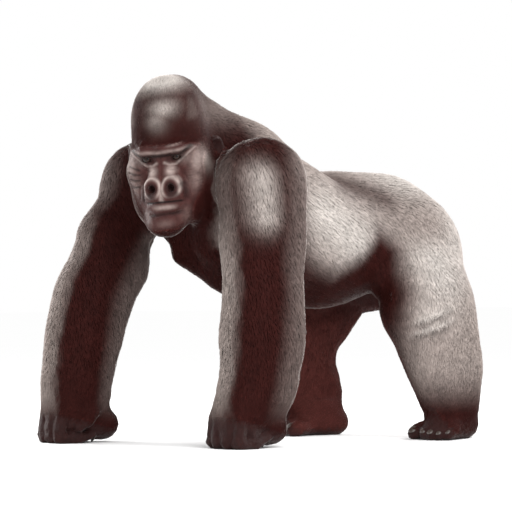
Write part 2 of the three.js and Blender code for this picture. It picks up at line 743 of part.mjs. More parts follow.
// The flesh inside a box, as a solid cut off at the floor. Smaller cells and more triangles show finer forms.
function modelled(low, high, cell, triangles, even, weight) {
  const mesh = thinned(marched(flesh, low, high, cell), triangles, even, weight);
  return solidOf(settled(mesh, flesh)).trimByPlane([0, 0, 1], 0);
}

let body = modelled([-420, -660, -24], [420, 760, 1140], 13, 4200, 0.15);

const FACE = { middle: [0, -125, -60], reach: 105, detail: 8 }; // where the head's triangles are spent
const [hx, hy, hz] = HEAD.centre;
const faceMiddle = vec(FACE.middle).applyMatrix4(headFrame);
const onFace = (x, y, z) => (faceMiddle.distanceTo(vec([x, y, z])) < FACE.reach ? FACE.detail : 1);
const headBox = [[hx - 200, hy - 220, hz - 290], [hx + 220, hy + 200, hz + 270]];
const fineHead = modelled(...headBox, 4.5, 4600, 0.03, onFace);

const neckFrame = headFrame.clone().multiply(place(NECK_CUT.centre, [NECK_CUT.tilt, 0, 0]));
let [headSolid] = cutOut(fineHead, NECK_CUT.size, neckFrame);
[, body] = cutOut(body, NECK_CUT.size, neckFrame);

// Each ear is closed against the side of the head and neck, and stands off it by the gap.
for (const s of [LEFT, RIGHT]) {
  const own = [];
  ear(own, s);
  const middle = vec([s * (EAR.root[0] + 12), EAR.root[1], EAR.root[2]]).applyMatrix4(headFrame);
  const low = middle.clone().subScalar(52).toArray();
  const high = middle.clone().addScalar(52).toArray();
  let free = solidOf(settled(thinned(marched(own, low, high, 3), 420, 0.02), own));
  const outward = new THREE.Vector3(s, 0, 0).transformDirection(headFrame).multiplyScalar(GAP).toArray();
  for (const flank of [fineHead, body]) free = free.subtract(flank).subtract(flank.translate(outward));
  addNode(`ear_${SIDE_NAME[s]}`, free, BARE_SKIN);
}

// The block that takes an arm off the trunk turns about the shoulder with the upper arm.
for (const s of [LEFT, RIGHT]) {
  const { shoulder, elbow, wrist, palm } = ARM[s];
  const lean = THREE.MathUtils.radToDeg(Math.atan2(shoulder[1] - elbow[1], shoulder[2] - elbow[2]));
  const { inside, size, ahead, below } = ARM_CUT;
  const pivot = place([s * (inside + size[0] / 2), shoulder[1], shoulder[2]], [-lean, 0, 0]);
  let limb;
  [limb, body] = cutOut(body, size, pivot.multiply(place([0, -ahead, -below])));
  const [upper, lower] = split(limb, { through: elbow });
  const [forearm] = split(lower, { through: [0, 0, WRIST_HEIGHT] });
  addNode(`upper_arm_${SIDE_NAME[s]}`, upper, COAT_DARK);
  addNode(`forearm_${SIDE_NAME[s]}`, forearm, COAT_DARK);
  const [wx] = wrist;
  const fine = modelled([wx - 140, palm - 170, -16], [wx + 140, palm + 190, 200], 6, 980, 0.03);
  const [, fist] = split(fine, { through: [0, 0, WRIST_HEIGHT] });
  addNode(`hand_${SIDE_NAME[s]}`, fist, BARE_SKIN);
}

for (const s of [LEFT, RIGHT]) {
  const { knee, ankle, kneeSlope } = LEG[s];
  const { inside, size, ahead, height, tilt } = LEG_CUT;
  const middle = [s * (inside + size[0] / 2), knee[1] - ahead + size[1] / 2, height];
  let limb;
  [limb, body] = cutOut(body, size, place(middle, [0, s * tilt, 0]));
  const [thigh, lower] = split(limb, { through: knee, towards: [0, kneeSlope, 1] });
  const [shin] = split(lower, { through: [0, 0, ANKLE_HEIGHT] });
  addNode(`thigh_${SIDE_NAME[s]}`, thigh, COAT_SILVER);
  addNode(`shin_${SIDE_NAME[s]}`, shin, COAT_DARK);
  const [fx, fy] = ankle;
  const fine = modelled([fx - 140, fy - 210, -16], [fx + 140, fy + 150, 160], 6, 760, 0.03);
  const [, sole] = split(fine, { through: [0, 0, ANKLE_HEIGHT] });
  addNode(`foot_${SIDE_NAME[s]}`, sole, BARE_SKIN);
}

const [neckPart, trunkPart] = split(body, NECK_BASE);
const [chestPart, rear] = split(trunkPart, CHEST_END);
const [bellyPart, rumpPart] = split(rear, BELLY_END);
addNode("neck", neckPart, COAT_DARK);
addNode("chest", chestPart, COAT_SILVER);
addNode("belly", bellyPart, COAT_SILVER);
addNode("rump", rumpPart, COAT_SILVER);

// An ellipsoid in the head's frame, as a solid.
const egg = (centre, radii, around = 16, along = 10) => {
  const ball = new THREE.SphereGeometry(1, around, along).scale(...radii);
  return solidOfGeometry(ball.applyMatrix4(headFrame.clone().multiply(place(centre))));
};
for (const s of [LEFT, RIGHT]) {
  const ball = (radius) => egg([s * EYE.x, EYE.y, EYE.z], [radius, radius, radius]);
  headSolid = headSolid.subtract(ball(EYE.radius + GAP));
  headSolid = headSolid.subtract(egg([s * EYE.x, EYE.y - LID_OPENING.forward, EYE.z], LID_OPENING.radii));
  headSolid = headSolid.subtract(egg([s * NOSTRIL.x, NOSTRIL.y, NOSTRIL.z], NOSTRIL.radii, 12, 8));
  addNode(`eye_${SIDE_NAME[s]}`, ball(EYE.radius), EYE_WET);
}

// The line of the mouth is a slit that runs back and down from the middle of the lips to their corners.
const mouthPoints = [-1, -0.6, 0, 0.6, 1].map((u) => {
  const x = u * MOUTH.halfWidth;
  return new THREE.Vector3(x, MOUTH.front + (x / 8.6) ** 2, MOUTH.height - (x / 26) ** 2);
});
const slit = new THREE.Shape();
slit.moveTo(-MOUTH.open, -MOUTH.depth / 2).lineTo(MOUTH.open, -MOUTH.depth / 2);
slit.lineTo(MOUTH.open / 2, MOUTH.depth / 2).lineTo(-MOUTH.open / 2, MOUTH.depth / 2);
const mouthLine = new THREE.CatmullRomCurve3(mouthPoints);
const groove = new THREE.ExtrudeGeometry(slit, { steps: 12, extrudePath: mouthLine, bevelEnabled: false });
headSolid = headSolid.subtract(solidOfGeometry(groove.applyMatrix4(headFrame)));
addNode("head", headSolid, COAT_DARK);

const extent = new THREE.Box3().setFromObject(gorilla);
const centre = extent.getCenter(new THREE.Vector3());
gorilla.position.set(-centre.x, -centre.y, -extent.min.z);

export default gorilla;
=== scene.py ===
"""A silverback gorilla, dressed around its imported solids: a skin, two eyes, nails and a coat of short tufts.

The file is laid out as a Blender add-on. Each operator makes one piece or one group of like pieces.
"""

import math

import bpy
import numpy as np
from bpy.props import FloatProperty, FloatVectorProperty, IntProperty, PointerProperty
from mathutils import Matrix, Vector
from mathutils.bvhtree import BVHTree
from mathutils.kdtree import KDTree


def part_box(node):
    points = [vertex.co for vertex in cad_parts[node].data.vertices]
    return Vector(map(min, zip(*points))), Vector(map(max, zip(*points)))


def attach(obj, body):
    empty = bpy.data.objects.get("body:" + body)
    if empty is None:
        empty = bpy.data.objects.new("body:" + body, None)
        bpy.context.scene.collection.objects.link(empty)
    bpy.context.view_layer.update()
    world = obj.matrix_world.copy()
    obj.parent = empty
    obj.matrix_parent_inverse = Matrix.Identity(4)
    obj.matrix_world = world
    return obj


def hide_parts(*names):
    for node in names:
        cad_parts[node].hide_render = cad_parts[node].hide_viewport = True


bl_info = {
    "name": "Silverback Gorilla",
    "version": (1, 0, 0),
    "blender": (4, 5, 0),
    "location": "View3D > Sidebar > Gorilla",
    "description": "Builds the skin, eyes, nails and coat of a standing gorilla around its solids",
    "category": "Object",
}

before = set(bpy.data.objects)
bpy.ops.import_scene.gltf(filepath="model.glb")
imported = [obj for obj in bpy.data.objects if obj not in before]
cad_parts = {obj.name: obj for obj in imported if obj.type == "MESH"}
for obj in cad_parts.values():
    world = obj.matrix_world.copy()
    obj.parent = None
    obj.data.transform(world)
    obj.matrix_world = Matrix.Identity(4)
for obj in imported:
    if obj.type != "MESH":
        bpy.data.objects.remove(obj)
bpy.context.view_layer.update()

LEFT, RIGHT = 1, -1
SIDES = {LEFT: "left", RIGHT: "right"}
TRUNK = ("neck", "chest", "belly", "rump")
LIMBS = ("upper_arm", "forearm", "hand", "thigh", "shin", "foot")
HAIRED = ("head", *TRUNK, *(f"{limb}_{side}" for limb in LIMBS for side in SIDES.values()))
FLESH = (*HAIRED, *(f"ear_{side}" for side in SIDES.values()))

# The animal was laid out around its withers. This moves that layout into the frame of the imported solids.
LAYOUT = Matrix.Translation((-0.00313, -0.05217, 0))


def laid_frame(place, **turns):
    """A frame at a place of the layout, turned in degrees about the named axes."""
    matrix = LAYOUT @ Matrix.Translation(place)
    for axis, turn in turns.items():
        matrix = matrix @ Matrix.Rotation(math.radians(turn), 4, axis)
    return matrix


# The frame of the head, and those of hands and feet, whose origins lie on the floor.
HEAD = laid_frame((0.037, -0.33, 0.864), Z=40, X=12, Y=-5)
HAND = {LEFT: laid_frame((0.272, -0.211, 0), Z=6), RIGHT: laid_frame((-0.27, -0.458, 0), Z=-8)}
FOOT = {LEFT: laid_frame((0.226, 0.576, 0), Z=22), RIGHT: laid_frame((-0.198, 0.358, 0), Z=-14)}


# ---- settings


def metres(name, description, default):
    return FloatProperty(name=name, description=description, default=default, unit="LENGTH")


def watts(name, description, default):
    return FloatProperty(name=name, description=description, default=default, unit="POWER")


def degrees(name, description, default):
    return FloatProperty(name=name, description=description, default=math.radians(default), subtype="ANGLE")


def tone(name, description, default):
    return FloatVectorProperty(name=name, description=description, default=default, subtype="COLOR")


class GorillaStage(bpy.types.PropertyGroup):
    """Where the camera stands, and how the studio is lit."""

    azimuth: degrees("Azimuth", "Side the camera looks from", 55)
    distance: metres("Distance", "Camera to the middle of the animal", 10.0)
    lens: FloatProperty(name="Lens", description="Focal length in millimetres", default=232.0)
    eye_level: metres("Height", "Height of the camera", 0.561)
    key: watts("Key light", "Large light from above", 80.0)
    rim_left: watts("Left rim light", "Light behind the animal, on the left", 100.0)
    rim_right: watts("Right rim light", "Light behind the animal, on the right", 70.0)
    sky: FloatProperty(name="Surroundings", description="Brightness of the white surroundings", default=1.0)


class GorillaSkin(bpy.types.PropertyGroup):
    """How finely the skin is made, and its colour where it is bare."""

    cell: metres("Cell", "Size of the cells that join the solids", 0.0022)
    triangles: IntProperty(name="Triangles", description="Triangles of the finished skin", default=185000)
    overlap: metres("Overlap", "How far each solid swells to meet the next", 0.0008)
    bare: tone("Bare skin", "Face, palms and soles", (0.021, 0.0056, 0.0048))


class GorillaEyes(bpy.types.PropertyGroup):
    """The eyeballs, in the frame of the head."""

    radius: metres("Radius", "Radius of the eyeball", 0.015)
    apart: metres("Half distance", "From the middle of the face to each eye", 0.045)
    forward: metres("Forward", "How far the eyes lie before the ears", 0.099)
    height: metres("Height", "How far the eyes lie above the ears' middle", 0.006)
    iris: metres("Iris", "Radius of the iris", 0.0078)
    cornea: metres("Cornea", "How far the cornea bulges", 0.0012)
    gaze: degrees("Gaze", "Side to which the eyes look", 55)
    colour: tone("Iris colour", "Colour of the iris", (0.022, 0.008, 0.004))


class GorillaNails(bpy.types.PropertyGroup):
    """Nails of toes and fingers, as shares of the toe or finger that carries them."""

    width: FloatProperty(name="Width", description="Half width over the toe's radius", default=0.62)
    length: FloatProperty(name="Length", description="Half length over the toe's radius", default=0.7)
    thickness: metres("Thickness", "Half thickness", 0.0022)


class GorillaCoat(bpy.types.PropertyGroup):
    """The tufts of the coat and its colours."""

    width: FloatProperty(name="Width", description="Width of a tuft as a share of its length", default=0.085)
    cover: FloatProperty(name="Cover", description="How many tufts lie over each spot", default=2.3)
    dark: tone("Dark", "Head, arms, breast and belly", (0.026, 0.0058, 0.0048))
    silver: tone("Silver", "Saddle and flanks", (0.47, 0.43, 0.4))
    grey: tone("Grey", "Rump, thighs and shins", (0.27, 0.225, 0.205))
    seed: IntProperty(name="Seed", description="Seed of the tufts' places", default=7)


# ---- helpers


def eased():
    return 1


def deselect():
    if bpy.context.object and bpy.context.object.mode != "OBJECT":
        bpy.ops.object.mode_set(mode="OBJECT")
    bpy.ops.object.select_all(action="DESELECT")


def select(pieces):
    """Selects just these pieces. The first of them becomes the active one."""
    deselect()
    for piece in pieces:
        piece.select_set(True)
    bpy.context.view_layer.objects.active = pieces[0]


def apply_modifier(piece, kind, **settings):
    select([piece])
    modifier = piece.modifiers.new(kind.title(), kind)
    for name, value in settings.items():
        setattr(modifier, name, value)
    bpy.ops.object.modifier_apply(modifier=modifier.name)


def join(pieces, name):
    """Joins the pieces into the first of them."""
    select(pieces)
    bpy.ops.object.join()
    pieces[0].name = pieces[0].data.name = name
    return pieces[0]


def mesh_object(name, vertices, faces):
    """An object from arrays of corners and of triangles."""
    mesh = bpy.data.meshes.new(name)
    mesh.vertices.add(len(vertices))
    mesh.vertices.foreach_set("co", vertices.astype(np.float32).ravel())
    mesh.loops.add(len(faces) * 3)
    mesh.loops.foreach_set("vertex_index", faces.astype(np.int32).ravel())
    mesh.polygons.add(len(faces))
    mesh.polygons.foreach_set("loop_start", np.arange(0, len(faces) * 3, 3, dtype=np.int32))
    mesh.update(calc_edges=True)
    mesh.validate()
    piece = bpy.data.objects.new(name, mesh)
    bpy.context.scene.collection.objects.link(piece)
    return piece


def corners(mesh):
    flat = np.empty(len(mesh.vertices) * 3, np.float32)
    mesh.vertices.foreach_get("co", flat)
    return flat.reshape(-1, 3).astype(float)


def set_corners(mesh, points):
    mesh.vertices.foreach_set("co", points.astype(np.float32).ravel())
    mesh.update()


def triangles(mesh):
    mesh.calc_loop_triangles()
    flat = np.empty(len(mesh.loop_triangles) * 3, np.int32)
    mesh.loop_triangles.foreach_get("vertices", flat)
    return flat.reshape(-1, 3)


def unit(vectors):
    return vectors / np.maximum(np.linalg.norm(vectors, axis=-1, keepdims=True), 1e-9)


def fade(low, high, value):
    t = np.clip((value - low) / (high - low), 0, 1)
    return t * t * (3 - 2 * t)


def ridge(distance, width):
    """One where the distance is nothing, fading on both sides."""
    return np.exp(-((distance / width) ** 2))


def hill(points, centre, radii):
    """One at the centre, fading to nothing at about twice the radii."""
    return np.exp(-(((points - centre) / radii) ** 2).sum(axis=-1))


def stroke(across, up, points, width):
    """One along a line through the points, fading to nothing beside it."""
    best = np.full(len(across), 1e3)
    for (x0, z0), (x1, z1) in zip(points, points[1:]):
        dx, dz = x1 - x0, z1 - z0
        t = np.clip(((across - x0) * dx + (up - z0) * dz) / (dx * dx + dz * dz), 0, 1)
        best = np.minimum(best, np.hypot(across - x0 - t * dx, up - z0 - t * dz))
    return ridge(best, width)


def wave(place, beside, pitch, bend, bend_pitch):
    """Ripples along a place, bent by ripples beside it."""
    return np.sin(place * pitch + bend * np.sin(beside * bend_pitch))


def blend(start, end, share):
    return start + (end - start) * share[:, None]


def into(matrix, points):
    """Points of the world in the frame that the matrix gives."""
    inverse = np.array(matrix.inverted())
    return points @ inverse[:3, :3].T + inverse[:3, 3]


def corner_normals(points, faces):
    a, b, c = (points[faces[:, column]] for column in range(3))
    across = np.cross(b - a, c - a)
    total = np.zeros_like(points)
    for column in range(3):
        for axis in range(3):
            total[:, axis] += np.bincount(faces[:, column], across[:, axis], len(points))
    return unit(total)


def evened(values, faces, rounds):
    """The values of a mesh's corners, blended with those of their neighbours."""
    count = len(values)
    start = faces.ravel()
    end = faces[:, [1, 2, 0]].ravel()
    share = 1 / np.maximum(np.bincount(start, minlength=count), 1)
    values = values.reshape(count, -1).copy()
    for _ in range(rounds):
        for column in range(values.shape[1]):
            near = np.bincount(start, values[end, column], count) * share
            values[:, column] = 0.5 * values[:, column] + 0.5 * near
    return values


def weigh(piece, name, weights):
    """Stores weights as a vertex group, in steps of a tenth."""
    group = piece.vertex_groups.new(name=name)
    for level in range(1, 11):
        chosen = np.flatnonzero(np.round(weights * 10) == level)
        if len(chosen):
            group.add(chosen.tolist(), level / 10, "REPLACE")


def set_tint(mesh, colours):
    """Stores each corner's colour, which the materials read."""
    rgba = np.ones((len(colours), 4), np.float32)
    rgba[:, :3] = colours
    layer = mesh.color_attributes.new("tint", "FLOAT_COLOR", "POINT")
    layer.data.foreach_set("color", rgba.ravel())


def place_on_body(piece):
    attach(piece, "root")


# ---- materials


def new_material(name):
    material = bpy.data.materials.new(name)
    material.use_nodes = True
    material.node_tree.nodes.clear()
    return material


def add_node(material, kind, inputs=(), **settings):
    node = material.node_tree.nodes.new("ShaderNode" + kind)
    for name, value in settings.items():
        setattr(node, name, value)
    for name, value in dict(inputs).items():
        if isinstance(value, bpy.types.NodeSocket):
            material.node_tree.links.new(value, node.inputs[name])
        else:
            node.inputs[name].default_value = value
    return node


def own_place(material, stretch=(1, 1, 1)):
    """The object's own coordinates."""
    place = add_node(material, "TexCoord").outputs["Object"]
    return add_node(material, "Mapping", {"Vector": place, "Scale": stretch}).outputs["Vector"]


def noise(material, scale, detail, stretch=(1, 1, 1)):
    inputs = {"Vector": own_place(material, stretch), "Scale": scale, "Detail": detail}
    return add_node(material, "TexNoise", inputs).outputs["Fac"]


def ranged(material, value, start, end, low, high):
    """Turns values between start and end into values between low and high."""
    inputs = {"Value": value, "From Min": start, "From Max": end, "To Min": low, "To Max": high}
    return add_node(material, "MapRange", inputs).outputs["Result"]


def scaled(material, colour, amount):
    inputs = {0: colour, "Scale": amount}
    return add_node(material, "VectorMath", inputs, operation="SCALE").outputs["Vector"]


def bump(material, height, strength, distance):
    inputs = {"Height": height, "Strength": strength, "Distance": distance}
    return add_node(material, "Bump", inputs).outputs["Normal"]


def ramp(material, value, stops):
    """Blends through the colours of the stops, each of which is a place and a colour."""
    node = add_node(material, "ValToRGB", {"Fac": value})
    elements = node.color_ramp.elements
    elements[0].position, elements[0].color = stops[0]
    elements[1].position, elements[1].color = stops[-1]
    for position, colour in stops[1:-1]:
        elements.new(position).color = colour
    return node.outputs["Color"]


def varied_tint(material, scale, low, high, stretch=(1, 1, 1)):
    """The stored colour, made darker and lighter by noise."""
    tint = add_node(material, "Attribute", attribute_name="tint").outputs["Color"]
    return scaled(material, tint, ranged(material, noise(material, scale, 4.0, stretch), 0.3, 0.7, low, high))


def sheen(gloss, weight, roughness):
    soft = {"Sheen Weight": weight, "Sheen Roughness": roughness, "Sheen Tint": (0.86, 0.79, 0.75, 1)}
    return {"Specular IOR Level": gloss, **soft}


def finish_material(material, colour, roughness, inputs):
    """Adds the shader and the output."""
    inputs = {"Base Color": colour, "Roughness": roughness, **inputs}
    shader = add_node(material, "BsdfPrincipled", inputs)
    add_node(material, "OutputMaterial", {"Surface": shader.outputs["BSDF"]})
    return material


def fur_material(name, softness):
    """Short hair with a soft light edge all round the body."""
    material = new_material(name)
    colour = varied_tint(material, 30.0, 0.84, 1.16)
    return finish_material(material, colour, 0.6, sheen(0.04, softness, 0.2))


def under_hair_material():
    """The skin below the coat, with the strands of the short hair as relief."""
    material = new_material("skin_under_hair")
    # The stored colour is lifted 1.5 to 2.1 times: painted light against the shade between the tufts.
    colour = varied_tint(material, 120.0, 1.5, 2.1, (1, 1, 0.25))
    normal = bump(material, noise(material, 420.0, 3.0, (1, 1, 0.2)), 0.8, 0.003)
    return finish_material(material, colour, 0.6, {"Normal": normal, **sheen(0.04, 0.3, 0.28)})


def bare_skin_material():
    """Thick dark skin with fine cells and pores, slightly shiny."""
    material = new_material("skin_bare")
    colour = varied_tint(material, 70.0, 0.8, 1.2)
    inputs = {"Vector": own_place(material), "Scale": 260.0}
    cells = add_node(material, "TexVoronoi", inputs, feature="DISTANCE_TO_EDGE").outputs["Distance"]
    folds = noise(material, 95.0, 6.0)
    inputs = {0: ranged(material, cells, 0, 0.22, 0, 1.0), 1: folds}
    height = add_node(material, "Math", inputs, operation="ADD").outputs["Value"]
    normal = bump(material, height, 0.55, 0.0012)
    gloss = ranged(material, folds, 0.3, 0.7, 0.38, 0.56)
    return finish_material(material, colour, gloss, {"Normal": normal, **sheen(0.12, 0.1, 0.3)})


def nail_material():
    """Dark horn, mottled and slightly uneven."""
    material = new_material("nail_horn")
    mottle = noise(material, 300.0, 3.0)
    colour = ramp(material, mottle, ((0, (0.02, 0.013, 0.011, 1)), (1, (0.075, 0.055, 0.046, 1))))
    return finish_material(material, colour, 0.34, {"Normal": bump(material, mottle, 0.25, 0.0006)})


def eye_material(iris_colour):
    """A wet brown iris round a black pupil, in a dark white. The stored ring is 0 at the pupil's middle."""
    material = new_material("eye_wet")
    ring = add_node(material, "Attribute", attribute_name="ring").outputs["Fac"]
    inputs = {0: noise(material, 900.0, 3.0), 1: 0.12, 2: ring}
    jitter = add_node(material, "Math", inputs, operation="MULTIPLY_ADD").outputs["Value"]
    shares = ((0.24, 0.55), (0.4, 1), (0.55, 0.35))
    iris = [(place, (*(share * c for c in iris_colour), 1)) for place, share in shares]
    colour = ramp(material, jitter, ((0.2, (0.001, 0.001, 0.001, 1)), *iris, (0.8, (0.016, 0.008, 0.006, 1))))
    return finish_material(material, colour, 0.07, {"Specular IOR Level": 0.22})


def studio_material():
    material = new_material("studio_white")
    amount = ranged(material, noise(material, 3.0, 2.0), 0, 1.0, 0.99, 1.0)
    return finish_material(material, scaled(material, FLOOR_WHITE, amount), 1.0, {"Specular IOR Level": 0})


# ---- stage

FLOOR_SIZE = 40
FLOOR_LEVEL = -0.0005
FLOOR_WHITE = (0.99, 0.99, 0.99)
FARTHEST_SEEN = 100
# Each light's place towards, to the right of and above the camera's aim, and its size, in metres.
LIGHTS = {
    "key": ((2.4, 1.2, 1.7), 2.0),
    "rim_left": ((-1.4, -2.6, 1.0), 1.8),
    "rim_right": ((-1.6, 2.6, 1.3), 1.8),
}


def look_at(thing, target):
    thing.rotation_euler = (target - thing.location).to_track_quat("-Z", "Y").to_euler()


class GORILLA_OT_stage(bpy.types.Operator):
    """Make the floor, the camera and the lights"""

    bl_idname = "gorilla.stage"
    bl_label = "Stage"

    def execute(self, context):
        settings = context.scene.gorilla_stage
        deselect()
        bpy.ops.mesh.primitive_plane_add(size=FLOOR_SIZE, location=(0, 0, FLOOR_LEVEL))
        floor = context.object
        floor.name = "studio_floor"
        bpy.ops.object.transform_apply(location=True, rotation=False, scale=False)
        floor.data.materials.append(studio_material())

        middle = LAYOUT @ Vector((0, 0, settings.eye_level))
        turn = settings.azimuth
        towards = Vector((math.sin(turn), -math.cos(turn), 0))
        right = Vector((math.cos(turn), math.sin(turn), 0))
        up = Vector((0, 0, 1))
        bpy.ops.object.camera_add(location=middle + towards * settings.distance)
        camera = context.object
        camera.name = "camera"
        camera.data.lens = settings.lens
        camera.data.clip_end = FARTHEST_SEEN
        look_at(camera, middle)
        context.scene.camera = camera
        for name, ((ahead, beside, above), size) in LIGHTS.items():
            place = middle + towards * ahead + right * beside + up * above
            bpy.ops.object.light_add(type="AREA", location=place)
            light = context.object
            light.name = name
            light.data.size = size
            light.data.energy = getattr(settings, name)
            look_at(light, middle)

        world = bpy.data.worlds.new("white_surroundings")
        world.use_nodes = True
        background = world.node_tree.nodes["Background"]
        background.inputs["Color"].default_value = (1, 1, 1, 1)
        background.inputs["Strength"].default_value = settings.sky
        context.scene.world = world
        context.scene.view_settings.view_transform = "Standard"
        return {"FINISHED"}


# ---- skin

# The coat on each part: direction of the hair before it is laid along the skin, length of the tufts and depth
# of the coat, in metres. Over the head the direction comes from head_lie.
HAIR = {
    "head": ((0, 0, 0), 0.017, 0.0045),
    "neck": ((0, 0.75, -0.65), 0.028, 0.007),
    "chest": ((0, 0.8, -0.6), 0.03, 0.007),
    "belly": ((0, 0.85, -0.5), 0.032, 0.007),
    "rump": ((0, 0.65, -0.75), 0.028, 0.0065),
    "upper_arm": ((0, 0.25, -1), 0.034, 0.008),
    "forearm": ((0, 0.18, -1), 0.036, 0.008),
    "hand": ((0, -0.55, -0.85), 0.012, 0.002),
    "thigh": ((0, 0.15, -1), 0.028, 0.0065),
    "shin": ((0, 0.1, -1), 0.026, 0.006),
    "foot": ((0, -1, -0.35), 0.011, 0.0018),
}
CUFFS = np.array((0.158, 0.116))  # heights of wrists and ankles, where the limbs were parted
REACH = 0.22  # how far a hand or foot reaches from its middle

# Lower edge of the silver on the trunk, the painted shade in the hollow of the loins, and the brightest
# line of the flank, which is silver hair under a painted highlight: places along the body and their
# heights, in metres.
SILVER_EDGE = np.array(
    ((-0.1, 0.6), (0.05, 0.545), (0.16, 0.515), (0.25, 0.57), (0.315, 0.64), (0.37, 0.6), (0.45, 0.5))
)
LOIN_SHADE_LINE = ((0.2, 0.785), (0.37, 0.735))
FLANK_LINE = ((0.09, 0.685), (0.15, 0.645), (0.22, 0.605))
# The side of the arms that carries the painted highlight, and wrist, elbow and shoulder of each arm.
LIT_ARM_SIDE = (-0.25, -0.97, 0)
ARM_LINE = {
    LEFT: ((0.272, -0.202, 0.12), (0.275, -0.166, 0.44), (0.248, -0.156, 0.778)),
    RIGHT: ((-0.27, -0.45, 0.12), (-0.272, -0.414, 0.432), (-0.244, -0.247, 0.782)),
}
# The painted highlight on the outside of the shoulder: places behind the arm's line and heights, in metres.
SHOULDER_HIGHLIGHT = ((-0.062, 0.785), (-0.045, 0.675))
# Middle of each hind leg from the ankle up, which the markings follow.
LEG_LINE = {
    LEFT: ((0.226, 0.576, 0.11), (0.226, 0.528, 0.28), (0.218, 0.492, 0.4), (0.14, 0.5, 0.59)),
    RIGHT: ((-0.198, 0.358, 0.11), (-0.198, 0.25, 0.292), (-0.196, 0.336, 0.395), (-0.14, 0.495, 0.59)),
}
SHIN_WARMTH = np.array((0.042, 0.013, 0.011))  # added to the dark inner side of the shins

# Folds of the face, mirrored on both sides: points across and up the face, half width and height, in metres.
FOLDS = {
    "brow_top": (((0, 0.04), (0.03, 0.042), (0.058, 0.046), (0.084, 0.054)), 0.0035, 0.0022),
    "brow_rim": (((0, 0.025), (0.03, 0.027), (0.062, 0.028), (0.09, 0.032)), 0.0035, 0.002),
    "brow_groove": (((0, 0.033), (0.03, 0.035), (0.06, 0.038), (0.082, 0.044)), 0.0025, -0.0012),
    "eye_bag": (
        ((0.012, -0.006), (0.026, -0.014), (0.044, -0.013), (0.068, 0.004), (0.096, 0.026)), 0.004, 0.0026
    ),
    "eye_crease": (((0.022, -0.023), (0.038, -0.028), (0.056, -0.024), (0.07, -0.01)), 0.0022, -0.0022),
    "muzzle_crease": (((0.06, -0.07), (0.066, -0.092), (0.066, -0.112)), 0.0038, -0.003),
    "cheek_crease": (((0.066, -0.052), (0.078, -0.078), (0.08, -0.106)), 0.003, -0.0018),
    "wrinkle_1": (((0.074, -0.024), (0.088, -0.018), (0.104, -0.012)), 0.0022, -0.002),
    "wrinkle_2": (((0.074, -0.038), (0.09, -0.036), (0.108, -0.03)), 0.0022, -0.002),
    "wrinkle_3": (((0.076, -0.054), (0.092, -0.054), (0.108, -0.05)), 0.0022, -0.002),
    "wrinkle_4": (((0.078, -0.072), (0.092, -0.074), (0.106, -0.072)), 0.0022, -0.002),
    "lip_groove": (((0, -0.085), (0, -0.109)), 0.003, -0.0016),
    "nose_groove": (((0, 0.002), (0, -0.038), (0, -0.058)), 0.005, -0.0022),
    "chin_crease": (((0, -0.152), (0.024, -0.155), (0.046, -0.151)), 0.0034, -0.003),
}
WRINKLES = [name for name in FOLDS if name.startswith("wrinkle")]
# Line of the painted shade below the brow, across and up the face, in metres.
SOCKET_LINE = ((0, 0.016), (0.03, 0.014), (0.06, 0.014), (0.09, 0.036))
NOSTRIL = {"x": 0.029, "z": -0.076, "wide": 0.022, "high": 0.026}
MOUTH = {"half": 0.056, "z": -0.115}
# Painted highlights of the face, mirrored: strength, middle across and up the face, half width and height.
FACE_HIGHLIGHT_SPOTS = {
    "nose_side": (0.95, (0.028, -0.03), (0.013, 0.015)),
    "cheekbone": (0.8, (0.112, -0.01), (0.026, 0.036)),
    "under_eye": (0.3, (0.08, 0), (0.03, 0.02)),
    "jaw": (0.16, (0.06, -0.165), (0.02, 0.03)),
    "chin": (0.18, (0, -0.18), (0.026, 0.014)),
}
# Colour of the painted highlights of the face.
FACE_HIGHLIGHT_COLOUR = np.array((0.36, 0.285, 0.26))
RUDDY = np.array((0.024, 0.006, 0.0052))

KNUCKLE_CREASES = (0.03, 0.036, 0.084, 0.091)  # heights above the floor
# Folds of loose skin over the front and outside of the left knee: heights at the knee's middle, in metres.
KNEE_FOLDS = (0.38, 0.342)


def nearest_node(points):
    """For each point the index in FLESH of the solid whose corners lie nearest."""
    clouds = [corners(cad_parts[name].data) for name in FLESH]
    tree = KDTree(sum(len(cloud) for cloud in clouds))
    for index, cloud in enumerate(clouds):
        for point in cloud:
            tree.insert(point, index)
    tree.balance()
    return np.array([tree.find(point)[1] for point in points])


def part_of(node):
    return node.removesuffix("_left").removesuffix("_right")


def head_lie(points):
    """On the head the hair runs up from the brow over the crest, and down and back on cheeks and jaw."""
    x, y, z = into(HEAD, points).T
    over = np.stack([0 * x, z - 0.03, 0.02 - y], axis=1)
    down = np.stack([0.25 * np.sign(x), 0 * x + 0.55, 0 * x - 0.9], axis=1)
    low = fade(0.03, -0.04, z)[:, None]
    mixed = unit(over) * (1 - low) + unit(down) * low
    return mixed @ np.array(HEAD)[:3, :3].T


def bareness(points):
    """One on the bare skin of face, knuckles, palms and soles, and nothing where the coat is full."""
    x, y, z = into(HEAD, points).T
    wide = 0.116 - 0.048 * fade(-0.05, -0.18, z)
    top = 0.047 - 0.3 * np.maximum(np.abs(x) - 0.06, 0)
    bare = fade(-0.02, -0.055, y) * fade(wide + 0.02, wide - 0.02, np.abs(x))
    bare *= fade(-0.215, -0.18, z) * fade(top + 0.01, top - 0.01, z)
    for side in SIDES:
        x, y, z = into(HAND[side], points).T
        fingers = fade(0.1, 0.05, z + 0.25 * (y + 0.05))
        bare = np.maximum(bare, (np.hypot(x, y) < REACH) * fingers)
        x, y, z = into(FOOT[side], points).T
        toes = np.maximum(fade(0.026, 0.014, z), fade(-0.085, -0.11, y))
        bare = np.maximum(bare, (np.hypot(x, y) < REACH) * (z < 0.11) * toes)
    return bare


def beside_line(laid, lines, side):
    """How far each point lies outside and behind the middle line of the limb on a side."""
    joints = np.array(lines[side])
    x, y = (np.interp(laid[:, 2], joints[:, 2], joints[:, axis]) for axis in (0, 1))
    return side * (laid[:, 0] - x), laid[:, 1] - y


